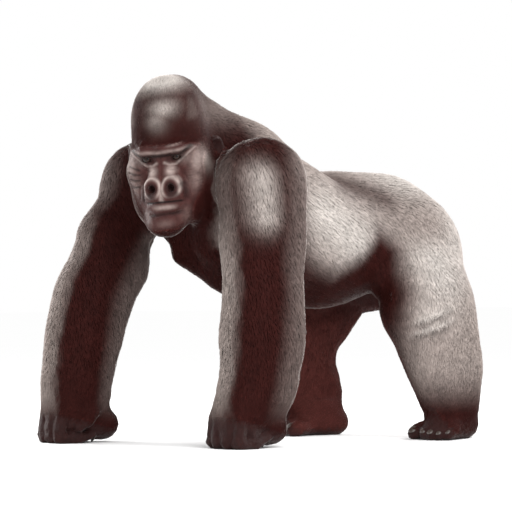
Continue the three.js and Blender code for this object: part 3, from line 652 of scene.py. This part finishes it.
def silver_area(laid, own, outside, behind):
    """Where the coat is silver or grey, and how bright it is there: silver hair with painted highlights on it.
    """
    y, z = laid[:, 1], laid[:, 2]
    on_head = fade(0.25, 0.2, np.linalg.norm(own - (0, 0, 0.03), axis=1))
    # On the trunk the silver ends low on the ribs, rises to a dark wedge in the groin and falls behind it.
    edge = np.interp(y, *SILVER_EDGE.T)
    high = fade(-0.05, 0.05, z - edge)
    rear = fade(-0.1, 0.04, y + 0.3 * (z - 0.75))
    leg = fade(-0.045, 0.035, outside)
    leg *= fade(-0.15, -0.08, behind + 0.03 * fade(0.46, 0.32, z))
    leg *= fade(0.66, 0.56, z) * fade(0.075, 0.24, z) * fade(0.14, 0.24, y)
    # Painted shade in the hollow of the loins, which dims the silver.
    loin_shade = stroke(y, z, LOIN_SHADE_LINE, 0.04)
    region = np.maximum(rear * high * (1 - 0.7 * loin_shade), leg) * (1 - on_head)
    trunk, shank = np.stack([y, z], axis=1), np.stack([behind, z], axis=1)
    # Brighter silver along the flank, over rump and thigh and at the knee: real silver with painted
    # highlights.
    silver_and_highlight = stroke(y, z, FLANK_LINE, 0.085)
    silver_and_highlight += hill(trunk, (0.51, 0.8), (0.14, 0.06)) + 0.75 * hill(trunk, (0.6, 0.62), (0.07, 0.14))
    on_leg = hill(shank, (-0.02, 0.52), (0.08, 0.12)) + 0.3 * hill(shank, (-0.08, 0.38), (0.05, 0.04))
    silver_and_highlight += leg * on_leg
    return region, np.clip(silver_and_highlight, 0, 1)


def arm_highlights(laid, normals):
    """Painted highlights down the front and back edges of the arms, and on the outside of the shoulder."""
    z = laid[:, 2]
    arm, patch = np.zeros(len(laid)), np.zeros(len(laid))
    forward = normals @ np.array(LIT_ARM_SIDE)
    for side in SIDES:
        beside, away = beside_line(laid, ARM_LINE, side)
        radius = np.hypot(beside, away) + 1e-6
        on_arm = fade(0.1, 0.16, side * laid[:, 0]) * fade(0.185, 0.135, radius)
        arm = np.maximum(arm, on_arm)
        ahead = (LIT_ARM_SIDE[0] * side * beside + LIT_ARM_SIDE[1] * away) / radius
        forward += 0.65 * on_arm * (ahead - forward)
        outer = fade(0.24, 0.31, side * laid[:, 0])
        patch = np.maximum(patch, outer * stroke(away, z, SHOULDER_HIGHLIGHT, 0.048))
    arm *= fade(0.05, 0.16, z) * fade(0.9, 0.8, z)
    # A painted highlight down the front of each arm, and a weaker one along its back edge.
    front = (0.34 + 0.56 * fade(0.74, 0.52, z)) * fade(0.66, 1.0, forward)
    return arm * (front + 0.36 * fade(-0.1, -0.85, forward)), patch


def head_highlights(own):
    """Painted highlights on crown, brow, temples and cheekbones."""
    x, y, z = own.T
    crown = 1.3 * hill(own, (0, -0.02, 0.224), (0.095, 0.105, 0.034))
    brow = 0.9 * hill(own, (0.018, -0.09, 0.148), (0.044, 0.06, 0.027))
    brow = np.maximum(brow, 0.6 * hill(own, (-0.004, -0.1, 0.116), (0.032, 0.06, 0.032)))
    temple = 0.24 * fade(0.07, 0.09, np.abs(x)) * fade(0.09, 0.12, z) * fade(0.19, 0.17, z)
    temple *= fade(0, -0.03, y)
    cheek = 0.75 * hill(np.stack([np.abs(x), y, z], axis=1), (0.12, -0.062, -0.016), (0.02, 0.03, 0.034))
    return crown, brow, temple, cheek


def markings(points, normals, settings):
    """The animal's colours: a dark fore body and silver flanks and hind quarters.

    Over them lie painted highlights on arms, shoulders, nape, head, flank, rump, thighs and knee folds,
    and painted shade in the hollow of the loins and below the knee folds.
    """
    laid = into(LAYOUT, points)
    own = into(HEAD, points)
    y, z = laid[:, 1], laid[:, 2]
    of_legs = (beside_line(laid, LEG_LINE, side) for side in SIDES)
    outside, behind = np.where(laid[:, 0] > 0, *of_legs)
    region, silver_and_highlight = silver_area(laid, own, outside, behind)
    arm, patch = arm_highlights(laid, normals)
    crown, brow, temple, cheek = head_highlights(own)
    # A painted rim highlight along the top of the nape.
    nape = 0.55 * hill(laid, (0.03, -0.2, 0.99), (0.1, 0.14, 0.05))
    # One mask of the painted highlights on arms, shoulders, nape, crown, brow, temples and cheeks.
    body_highlight = np.clip(np.maximum.reduce([arm, 0.9 * patch, nape, crown, brow, temple, cheek]), 0, 1)

    dark, silver, grey = (np.array(c) for c in (settings.dark, settings.silver, settings.grey))
    colour = blend(dark, blend(grey, silver, silver_and_highlight), region)
    # The colour of the painted highlights: grey turning silver on shoulder, crown and brow.
    highlight_colour = blend(grey, silver, np.clip(0.45 * patch + 0.9 * crown + 0.5 * brow, 0, 1))
    inner = fade(0, -0.06, outside) * fade(0.45, 0.3, z) * fade(0.14, 0.24, y)
    colour = colour + SHIN_WARMTH * (inner * (1 - region))[:, None]
    return knee_tint(points, blend(colour, highlight_colour, body_highlight * (1 - region)), silver)


def nostril_ring(own):
    """One at the rim of each nostril, less inside it and more outside."""
    across, up = np.abs(own[:, 0]), own[:, 2]
    return np.hypot((across - NOSTRIL["x"]) / NOSTRIL["wide"], (up - NOSTRIL["z"]) / NOSTRIL["high"])


def lip_line(own):
    """Height of the line between the lips, which falls towards the corners of the mouth."""
    return MOUTH["z"] - (own[:, 0] / 26e-3) ** 2 * 1e-3


def face_relief(own):
    """How far the skin of the face rises or sinks, from its place in the head's frame."""
    x, y, up = own.T
    across = np.abs(x)
    front = fade(-0.045, -0.075, y)
    rise = sum(height * stroke(across, up, points, width) for points, width, height in FOLDS.values())
    rise += 0.002 * ridge(nostril_ring(own) - 0.95, 0.2) * fade(-0.12, -0.14, y)
    lip = lip_line(own)
    inside = fade(MOUTH["half"] + 0.006, MOUTH["half"] - 0.006, across)
    rise += inside * 0.0026 * ridge(up - lip + 0.011, 0.006)
    rise += inside * 0.0012 * ridge(up - lip - 0.007, 0.004)
    rise += 0.0002 * (np.sin(across * 1050 + 40 * up) * ridge(up - lip, 0.016) * inside)
    pits = wave(x, up, 610, 7, 330) * wave(up, x, 570, 5, 410)
    rise += 0.0005 * pits * fade(0.045, 0.065, across) * fade(0.02, -0.02, up)
    return rise * front


def face_tint(own, colour, bare):
    """Painted highlights on brow, nose, lips and cheekbone, and painted shade in sockets, nostrils, mouth and
    creases, over the dark skin of the face.
    """
    x, y, up = own.T
    across = np.abs(x)
    flat = np.stack([across, up], axis=1)
    front = fade(-0.02, -0.055, y) * bare * fade(0.3, 0.25, np.linalg.norm(own, axis=1))
    nose_front = fade(-0.105, -0.125, y)
    ring = nostril_ring(own)
    lip = lip_line(own)
    half = MOUTH["half"]
    inside = fade(half, half - 0.018, across)
    heart = ridge(ring - 1.16, 0.21) * fade(-0.034, -0.008, up - NOSTRIL["z"])
    pores = 0.5 + 0.5 * wave(x, up, 560, 6, 310) * wave(up, x, 520, 5, 390)
    lower = fade(0.046, 0.014, np.abs(x - 0.004))
    beside_nose = fade(0.012, 0.026, across) * fade(0.055, 0.04, across)

    def along(fold, width):
        return stroke(across, up, FOLDS[fold][0], width)

    # Painted highlights on brow, nose rims, eye bags, lips, cheeks, jaw and chin.
    face_highlight = np.maximum.reduce([
        0.02 + 0 * up,
        0.5 * along("brow_top", 0.0042) * fade(0.012, 0.045, x),
        0.46 * along("brow_rim", 0.006),
        0.9 * heart * nose_front,
        0.6 * along("eye_bag", 0.0045),
        0.7 * stroke(across, up, ((0, -0.086), (0, -0.109)), 0.007),
        0.58 * lower * ridge(up - lip + 0.016, 0.0072),
        (0.15 + 0.35 * pores) * hill(flat, (0.098, -0.062), (0.024, 0.04)),
        *(strength * hill(flat, middle, size) for strength, middle, size in FACE_HIGHLIGHT_SPOTS.values()),
    ])
    shade = np.maximum.reduce([
        0.8 * stroke(across, up, SOCKET_LINE, 0.0065),
        0.9 * hill(flat, (0.047, 0.006), (0.026, 0.013)),
        0.5 * fade(0.86, 0.6, ring) * nose_front,
        0.55 * fade(0.02, 0, np.abs(up + 0.094)) * beside_nose,
        0.88 * fade(half + 0.004, half - 0.006, across) * ridge(up - lip, 0.0032),
        0.55 * inside * ridge(up - lip + 0.036, 0.006),
        0.5 * along("muzzle_crease", 0.0075),
        *(0.6 * stroke(-x, up, FOLDS[name][0], 0.0034) for name in WRINKLES),
    ])
    tinted = blend(colour + RUDDY * front[:, None], FACE_HIGHLIGHT_COLOUR, face_highlight * front)
    return tinted * (1 - front * np.clip(shade, 0, 1))[:, None]


def hand_relief(points):
    """Creases across the fingers at their joints."""
    rise = np.zeros(len(points))
    for side in SIDES:
        x, y, z = into(HAND[side], points).T
        near = (np.hypot(x, y) < 0.2) * fade(0.115, 0.095, z) * fade(-0.02, -0.05, y)
        for height in KNUCKLE_CREASES:
            rise -= 0.001 * near * ridge(z - height + 0.003 * np.sin(x * 160), 0.002)
    return rise


def knee_folds(points):
    """How far each point lies above each fold, and one over the knee's front and outside."""
    x, y, z = into(LAYOUT, points).T
    over = fade(0.2, 0.25, x) * fade(0.365, 0.4, y) * fade(0.53, 0.455, y)
    return [z - height - 0.36 * (y - 0.43) for height in KNEE_FOLDS], over


def knee_relief(points):
    lines, over = knee_folds(points)
    return over * sum(0.0055 * ridge(line, 0.009) - 0.005 * ridge(line + 0.015, 0.007) for line in lines)


def knee_tint(points, colour, silver):
    lines, over = knee_folds(points)
    light = over * sum(ridge(line, 0.007) for line in lines)
    shade = over * sum(ridge(line + 0.015, 0.006) for line in lines)
    return blend(colour, silver * 1.1, 0.7 * np.clip(light, 0, 1)) * (1 - 0.6 * np.clip(shade, 0, 1))[:, None]


class Skin:
    """The finished skin, which dress stores here for nails and coat."""


def round_off(skin, cell):
    """Rounds the facets of the solids, more on the body than on face, hands and feet."""
    points = corners(skin.data)
    weigh(skin, "body", 1 - small_forms(points))
    weigh(skin, "all", np.ones(len(points)))
    step = (0.0022 / cell) ** 2
    for name, factor, rounds in (("body", 0.7, 45), ("all", 0.5, 5)):
        rounds = max(1, round(rounds * step))
        apply_modifier(skin, "SMOOTH", factor=factor, iterations=rounds, vertex_group=name)


def small_forms(points):
    """One where small forms are kept: face, ears, hands and feet."""
    own = into(HEAD, points)
    near = fade(0.2, 0.17, np.linalg.norm(own + (0, 0.08, 0.06), axis=1))
    fine = fade(-0.04, -0.075, own[:, 1]) * near
    for side in SIDES:
        ear = hill(own, (side * 0.134, 0.034, -0.004), (0.03, 0.034, 0.042))
        fine = np.maximum(fine, fade(0.1, 0.5, ear))
    return np.maximum(fine, fade(0.105, 0.085, points[:, 2]))


def thin_out(skin, wanted):
    """Spends the triangles on the face, and evens out the cuts at wrists and ankles."""
    points = corners(skin.data)
    ahead = into(HEAD, points)[:, 1]
    weigh(skin, "coarse", 1 - fade(-0.055, -0.075, ahead) * (small_forms(points) > 0.5))
    share = wanted / len(triangles(skin.data))
    if share < 1:
        apply_modifier(skin, "DECIMATE", ratio=share, vertex_group="coarse", use_collapse_triangulate=True)
    skin.vertex_groups.clear()
    from_cut = np.abs(corners(skin.data)[:, 2, None] - CUFFS).min(axis=1)
    weigh(skin, "cuts", from_cut < 0.016)
    apply_modifier(skin, "SMOOTH", factor=0.6, iterations=12, vertex_group="cuts")
    skin.vertex_groups.clear()


def dress(skin, coat, settings):
    """Sinks the skin below the coat, models its relief and colours it."""
    mesh = skin.data
    points, faces = corners(mesh), triangles(mesh)
    node = nearest_node(points)
    on_ear = node >= len(HAIRED)
    node[on_ear] = HAIRED.index("head")
    on_head = node == HAIRED.index("head")
    hair = [HAIR[part_of(name)] for name in HAIRED]
    lie, length, depth = (np.array(column, float)[node] for column in zip(*hair))
    lie[on_head] = head_lie(points[on_head])
    lie = unit(evened(unit(lie), faces, rounds=60))
    bare = np.clip(evened(np.maximum(bareness(points), on_ear), faces, rounds=3)[:, 0], 0, 1)
    cover = 1 - bare
    length = evened(length, faces, rounds=40)[:, 0]
    depth = evened(depth * cover, faces, rounds=25)[:, 0]
    own = into(HEAD, points)
    rim = fade(0, -0.07, own[:, 1])
    rim *= fade(0.2, 0.16, np.linalg.norm(own + (0, 0.06, 0.05), axis=1))
    length *= 1 - 0.55 * rim
    depth *= (1 - 0.5 * rim) * cover
    normals = corner_normals(points, faces)
    relief = face_relief(own) + hand_relief(points) + knee_relief(points)
    points = points + normals * (relief - depth)[:, None]
    points[:, 2] = np.maximum(points[:, 2], 0)
    set_corners(mesh, points)
    tint = blend(markings(points, normals, coat), np.array(settings.bare), bare)
    tint = face_tint(own, tint, bare)
    set_tint(mesh, tint)
    mesh.materials.append(under_hair_material())
    mesh.materials.append(bare_skin_material())
    bald = bare[faces].mean(axis=1) > 0.5
    mesh.polygons.foreach_set("material_index", bald.astype(np.int32))
    Skin.points, Skin.faces, Skin.normals = points, faces, corner_normals(points, faces)
    Skin.lie, Skin.length, Skin.depth, Skin.bare, Skin.tint, Skin.node = lie, length, depth, bare, tint, node


class GORILLA_OT_skin(bpy.types.Operator):
    """Join the solids of the flesh into one skin, and model its folds"""

    bl_idname = "gorilla.skin"
    bl_label = "Skin"

    def execute(self, context):
        settings = context.scene.gorilla_skin
        cell = settings.cell * eased()
        copies = []
        for name in FLESH:
            copy = bpy.data.objects.new(name + "_copy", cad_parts[name].data.copy())
            context.scene.collection.objects.link(copy)
            copies.append(copy)
        skin = join(copies, "skin")
        skin.data.materials.clear()
        bpy.ops.object.mode_set(mode="EDIT")
        bpy.ops.mesh.select_all(action="SELECT")
        bpy.ops.mesh.remove_doubles(threshold=0.00001)
        bpy.ops.object.mode_set(mode="OBJECT")
        apply_modifier(skin, "DISPLACE", strength=settings.overlap, mid_level=0)
        apply_modifier(skin, "REMESH", mode="VOXEL", voxel_size=cell)
        round_off(skin, cell)
        thin_out(skin, settings.triangles * eased())
        dress(skin, context.scene.gorilla_coat, settings)
        bpy.ops.object.shade_smooth()
        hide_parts(*FLESH)
        place_on_body(skin)
        return {"FINISHED"}


# ---- eyes

CORNEA_REACH = 1.25  # the cornea's edge, as a share of the angle to the iris's edge
CORNEA_RING = 0.6  # what the stored ring says at the cornea's edge
GAZE_FALL = -0.05


def add_eye(name, centre, settings):
    """A ball with a bulging cornea, which looks to the side of the gaze."""
    gaze = Vector((math.sin(settings.gaze), -math.cos(settings.gaze), GAZE_FALL)).normalized()
    turn = np.array(gaze.to_track_quat("Z", "Y").to_matrix())
    deselect()
    bpy.ops.mesh.primitive_uv_sphere_add(segments=48, ring_count=32, radius=settings.radius)
    eye = bpy.context.object
    eye.name = name
    points = corners(eye.data)
    cap = math.asin(settings.iris / settings.radius) * CORNEA_REACH
    angle = np.arccos(np.clip(points[:, 2] / settings.radius, -1, 1))
    bulge = settings.cornea * np.clip(1 - (angle / cap) ** 2, 0, 1)
    points *= (1 + bulge / settings.radius)[:, None]
    ring = eye.data.attributes.new("ring", "FLOAT", "POINT")
    ring.data.foreach_set("value", np.clip(angle / cap * CORNEA_RING, 0, 1).astype(np.float32))
    set_corners(eye.data, points @ turn.T + np.array(centre))
    bpy.ops.object.shade_smooth()
    return eye


class GORILLA_OT_eyes(bpy.types.Operator):
    """Make the two eyeballs"""

    bl_idname = "gorilla.eyes"
    bl_label = "Eyes"

    def execute(self, context):
        settings = context.scene.gorilla_eyes
        material = eye_material(settings.colour)
        for side, name in SIDES.items():
            centre = HEAD @ Vector((side * settings.apart, -settings.forward, settings.height))
            eye = add_eye(f"eye_{name}", centre, settings)
            eye.data.materials.append(material)
            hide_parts(f"eye_{name}")
            place_on_body(eye)
        return {"FINISHED"}


# ---- nails

# Middle of each tip in the frame of foot or hand, and its radius. The first toe is the big one.
TOE_TIPS = (
    (-0.074, -0.104, 0.0185, 0.021), (-0.03, -0.113, 0.0155, 0.017), (-0.003, -0.1195, 0.015, 0.0165),
    (0.0237, -0.1135, 0.014, 0.0155), (0.0484, -0.099, 0.0125, 0.014),
)
FINGER_TIPS = (
    (-0.0513, 0.014, 0.0265, 0.0145), (-0.018, 0.014, 0.028, 0.016),
    (0.0171, 0.014, 0.0275, 0.0155), (0.0504, 0.014, 0.0255, 0.0135),
)
# For toes and fingers: frames, tips, and the nail's way along the toe or finger and out of it.
NAILS = {
    "toe": (FOOT, TOE_TIPS, (0, -1, 0), (0, -0.62, 0.78)),
    "finger": (HAND, FINGER_TIPS, (0, 1, 0.35), (0, 0.75, -0.66)),
}
SINK = 0.0006  # how far the middle of a nail lies below the skin
BEND = {"across": 0.45, "over_tip": 0.3}
SEARCH = 0.05  # height above a tip from which its skin is looked for


def add_nail(place, along, facing, radius, settings):
    """A domed plate: a ball pressed flat, longer than wide, and bent over the tip."""
    deselect()
    bpy.ops.mesh.primitive_uv_sphere_add(segments=20, ring_count=12, radius=1)
    nail = bpy.context.object
    points = corners(nail.data)
    points *= (radius * settings.width, radius * settings.length, settings.thickness)
    past = np.maximum(-points[:, 1], 0)
    points[:, 2] -= (points[:, 0] ** 2 * BEND["across"] + past**2 * BEND["over_tip"]) / radius
    facing = facing.normalized()
    along = (along - facing * along.dot(facing)).normalized()
    turn = np.array(Matrix((along.cross(facing), -along, facing)).transposed())
    set_corners(nail.data, points @ turn.T + np.array(place))
    bpy.ops.object.shade_smooth()
    return nail


class GORILLA_OT_nails(bpy.types.Operator):
    """Set a nail on each toe and on each folded finger"""

    bl_idname = "gorilla.nails"
    bl_label = "Nails"

    def execute(self, context):
        settings = context.scene.gorilla_nails
        material = nail_material()
        tree = BVHTree.FromPolygons(Skin.points.tolist(), Skin.faces.tolist())
        for side, name in SIDES.items():
            for group, (frames, tips, forward, out) in NAILS.items():
                turn = frames[side].to_3x3()
                facing = turn @ Vector(out)
                nails = []
                for x, y, z, radius in tips:
                    tip = frames[side] @ Vector((side * x, y, z))
                    spot = tree.ray_cast(tip + facing * SEARCH, -facing)[0] or tip + facing * radius
                    place = spot - facing * SINK
                    nails.append(add_nail(place, turn @ Vector(forward), facing, radius, settings))
                joined = join(nails, f"{group}nails_{name}")
                joined.data.materials.append(material)
                place_on_body(joined)
        return {"FINISHED"}


# ---- coat

# A tuft is a closed spindle: its root below the skin, three corners round its widest place, and its tip.
ACROSS = np.array((-0.5, 0.5, 0))
ABOVE = np.array((-0.1, -0.1, 0.26))
TUFT_FACES = np.array(((0, 1, 2), (0, 2, 3), (0, 3, 1), (4, 2, 1), (4, 3, 2), (4, 1, 3)))
TUFT_CORNERS = 5
SHADES = np.array((0.75, 0.95, 0.95, 1.0, 1.12))  # brightness of the corners
BEFORE_WIDEST, BEHIND_WIDEST = 0.45, 0.55  # shares of a tuft's length
WIDEST_LIFT, TIP_LIFT = (0.35, 0.7), (0.6, 1.05)  # heights over the skin, as shares of the coat's depth
ROOT_DEPTH = 0.0012
LEAST = 0.0006  # least width of a tuft and least depth of the coat, in metres
FLOOR_GAP = 0.0002
PATCH = 0.0015  # half the size of a tuft's place on the unwrapped skin
PATCH_CORNERS = np.array(((0, -1), (-1, 0), (1, 0), (0, 0.2), (0, 1)))
BODY_SHARE, TUFT_SHARE = 0.8, 0.2  # how far shading follows the skin, and how far the tuft's own faces
SILVER_SLOT = ("chest", "belly", "rump", "thigh")
SILVER_FUR = (*SILVER_SLOT, "shin")


def scatter(settings, random):
    """Roots spread over the haired skin, as triangle numbers and weights, closer where tufts are short."""
    a, b, c = (Skin.points[Skin.faces[:, i]] for i in range(3))
    area = np.linalg.norm(np.cross(b - a, c - a), axis=1) / 2
    length = Skin.length[Skin.faces].mean(axis=1)
    haired = 1 - Skin.bare[Skin.faces].mean(axis=1)
    width = settings.width * length + LEAST
    wanted = area * settings.cover * haired / (0.5 * length * width) * eased()
    number = np.floor(wanted + random.random(len(wanted))).astype(int)
    chosen = np.repeat(np.arange(len(number)), number)
    u, v = random.random(len(chosen)), random.random(len(chosen))
    flip = u + v > 1
    u[flip], v[flip] = 1 - u[flip], 1 - v[flip]
    return chosen, np.stack([1 - u - v, u, v], axis=1)


def on_skin(values, chosen, weights):
    picked = values[Skin.faces[chosen]]
    if picked.ndim == 2:
        return (picked * weights).sum(axis=1)
    return (picked * weights[..., None]).sum(axis=1)


def follow(tree, points):
    """The nearest places on the skin and the skin's direction there."""
    spots, normals = np.empty_like(points), np.empty_like(points)
    for index, point in enumerate(points.tolist()):
        spot, normal, *_ = tree.find_nearest(point)
        spots[index], normals[index] = spot, normal
    return spots, normals


def along_skin(lie, normals):
    return unit(lie - normals * (lie * normals).sum(axis=1, keepdims=True))


def unwrap(points, axis, centre):
    """Unrolls the skin round an axis, to places between 0 and 1."""
    axis = np.array(Vector(axis).normalized())
    side = unit(np.cross(axis, (0.31, 0.52, 0.8)))
    front = np.cross(axis, side)
    own = points - centre
    turn = np.arctan2(own @ front, own @ side) / (2 * math.pi) + 0.5
    along = own @ axis
    height = (along - along.min()) / max(np.ptp(along), 1e-6)
    return 0.01 + 0.98 * np.stack([turn, height], axis=1)


def grow(settings):
    """For each tuft its solid, the places, shading directions and colours of its corners, and its root."""
    random = np.random.default_rng(settings.seed)
    chosen, weights = scatter(settings, random)
    count = len(chosen)
    carried = (Skin.points, Skin.normals, Skin.lie, Skin.bare, Skin.length, Skin.depth, Skin.tint)
    roots, normals, lie, bare, length, depth, tint = (on_skin(values, chosen, weights) for values in carried)
    normals = unit(normals)
    length = length * random.uniform(0.75, 1.2, count) * (0.35 + 0.65 * (1 - bare))
    depth = depth + LEAST
    node = Skin.node[Skin.faces[chosen, 0]]
    width = (settings.width * length + LEAST) * random.uniform(0.8, 1.25, count) * eased()
    lie = unit(unit(lie) + random.normal(0, 0.13, (count, 3)))

    tree = BVHTree.FromPolygons(Skin.points.tolist(), Skin.faces.tolist())
    flow = along_skin(lie, normals)
    halfway, turned = follow(tree, roots + flow * (length * BEFORE_WIDEST)[:, None])
    middle = halfway + turned * (depth * random.uniform(*WIDEST_LIFT, count))[:, None]
    ends, ending = follow(tree, halfway + along_skin(lie, turned) * (length * BEHIND_WIDEST)[:, None])
    tips = ends + ending * (depth * random.uniform(*TIP_LIFT, count))[:, None]
    across = unit(np.cross(flow, turned))
    ring = middle[:, None, :] + across[:, None, :] * (ACROSS[None, :, None] * width[:, None, None])
    ring += turned[:, None, :] * (ABOVE[None, :, None] * width[:, None, None])
    starts = roots - normals * ROOT_DEPTH
    shape = np.concatenate([starts[:, None, :], ring, tips[:, None, :]], axis=1)
    soft = np.stack([normals, turned, turned, turned, ending], axis=1)
    wide_tint = markings(halfway, turned, settings)
    tip_tint = markings(ends, ending, settings)
    share = random.uniform(0.84, 1.16, count)[:, None] * SHADES[None, :]
    colours = np.stack([tint, wide_tint, wide_tint, wide_tint, tip_tint], axis=1) * share[:, :, None]
    return node, shape, soft, colours, roots


def coat_piece(title, name, material, shape, soft, colours, roots):
    """Makes one object of the tufts that grow over the named solid."""
    places = shape.reshape(-1, 3)
    places[:, 2] = np.maximum(places[:, 2], FLOOR_GAP)
    first = np.arange(len(roots)) * TUFT_CORNERS
    faces = (TUFT_FACES[None, :, :] + first[:, None, None]).reshape(-1, 3)
    tufts = mesh_object(f"coat_{title}", places, faces)
    mesh = tufts.data
    set_tint(mesh, colours.reshape(-1, 3))
    low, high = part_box(name)
    axis = (0, 1, 0) if name in TRUNK[1:] else (0, 0, 1)
    unrolled = unwrap(roots, axis, np.array((low + high) / 2))
    patches = (unrolled[:, None, :] + PATCH_CORNERS[None] * PATCH).reshape(-1, 2)
    layer = mesh.uv_layers.new(name="OFBake")
    layer.data.foreach_set("uv", patches[faces.ravel()].astype(np.float32).ravel())
    mesh.polygons.foreach_set("use_smooth", np.ones(len(faces), bool))
    blended = unit(BODY_SHARE * soft.reshape(-1, 3) + TUFT_SHARE * corner_normals(places, faces))
    mesh.normals_split_custom_set_from_vertices(blended.astype(np.float32))
    mesh.materials.append(material)
    place_on_body(tufts)


class GORILLA_OT_coat(bpy.types.Operator):
    """Cover the skin with short overlapping tufts that follow the lie of the hair"""

    bl_idname = "gorilla.coat"
    bl_label = "Coat"

    def execute(self, context):
        settings = context.scene.gorilla_coat
        node, *tufts = grow(settings)
        dark, silver = fur_material("coat_dark", 0.6), fur_material("coat_silver", 0.4)
        for index, name in enumerate(HAIRED):
            material = silver if part_of(name) in SILVER_FUR else dark
            pieces = {name: np.flatnonzero(node == index)}
            if name == "head":
                height = into(HEAD, tufts[-1][pieces[name]])[:, 2]
                high = height > np.median(height)
                pieces = {"crown": pieces[name][high], "face": pieces[name][~high]}
            for title, pick in pieces.items():
                coat_piece(title, name, material, *(values[pick] for values in tufts))
        return {"FINISHED"}


# ---- panel and run


class GORILLA_PT_panel(bpy.types.Panel):
    """The gorilla's pieces, in the order in which they are made"""

    bl_idname = "GORILLA_PT_panel"
    bl_label = "Gorilla"
    bl_space_type = "VIEW_3D"
    bl_region_type = "UI"
    bl_category = "Gorilla"

    def draw(self, context):
        for operator, settings, _ in STEPS:
            self.layout.operator(operator.bl_idname)
            group = getattr(context.scene, settings)
            for name in group.__annotations__:
                self.layout.prop(group, name)


# Each step: its operator, and the name and class of its settings.
STEPS = (
    (GORILLA_OT_stage, "gorilla_stage", GorillaStage),
    (GORILLA_OT_skin, "gorilla_skin", GorillaSkin),
    (GORILLA_OT_eyes, "gorilla_eyes", GorillaEyes),
    (GORILLA_OT_nails, "gorilla_nails", GorillaNails),
    (GORILLA_OT_coat, "gorilla_coat", GorillaCoat),
)
CLASSES = (*(group for _, _, group in STEPS), *(operator for operator, _, _ in STEPS), GORILLA_PT_panel)


def register():
    for cls in CLASSES:
        bpy.utils.register_class(cls)
    for _, name, group in STEPS:
        setattr(bpy.types.Scene, name, PointerProperty(type=group))


def unregister():
    for _, name, _ in STEPS:
        delattr(bpy.types.Scene, name)
    for cls in reversed(CLASSES):
        bpy.utils.unregister_class(cls)


def main():
    register()
    bpy.ops.gorilla.stage()
    bpy.ops.gorilla.skin()
    bpy.ops.gorilla.eyes()
    bpy.ops.gorilla.nails()
    bpy.ops.gorilla.coat()
    deselect()


if __name__ == "__main__":
    main()
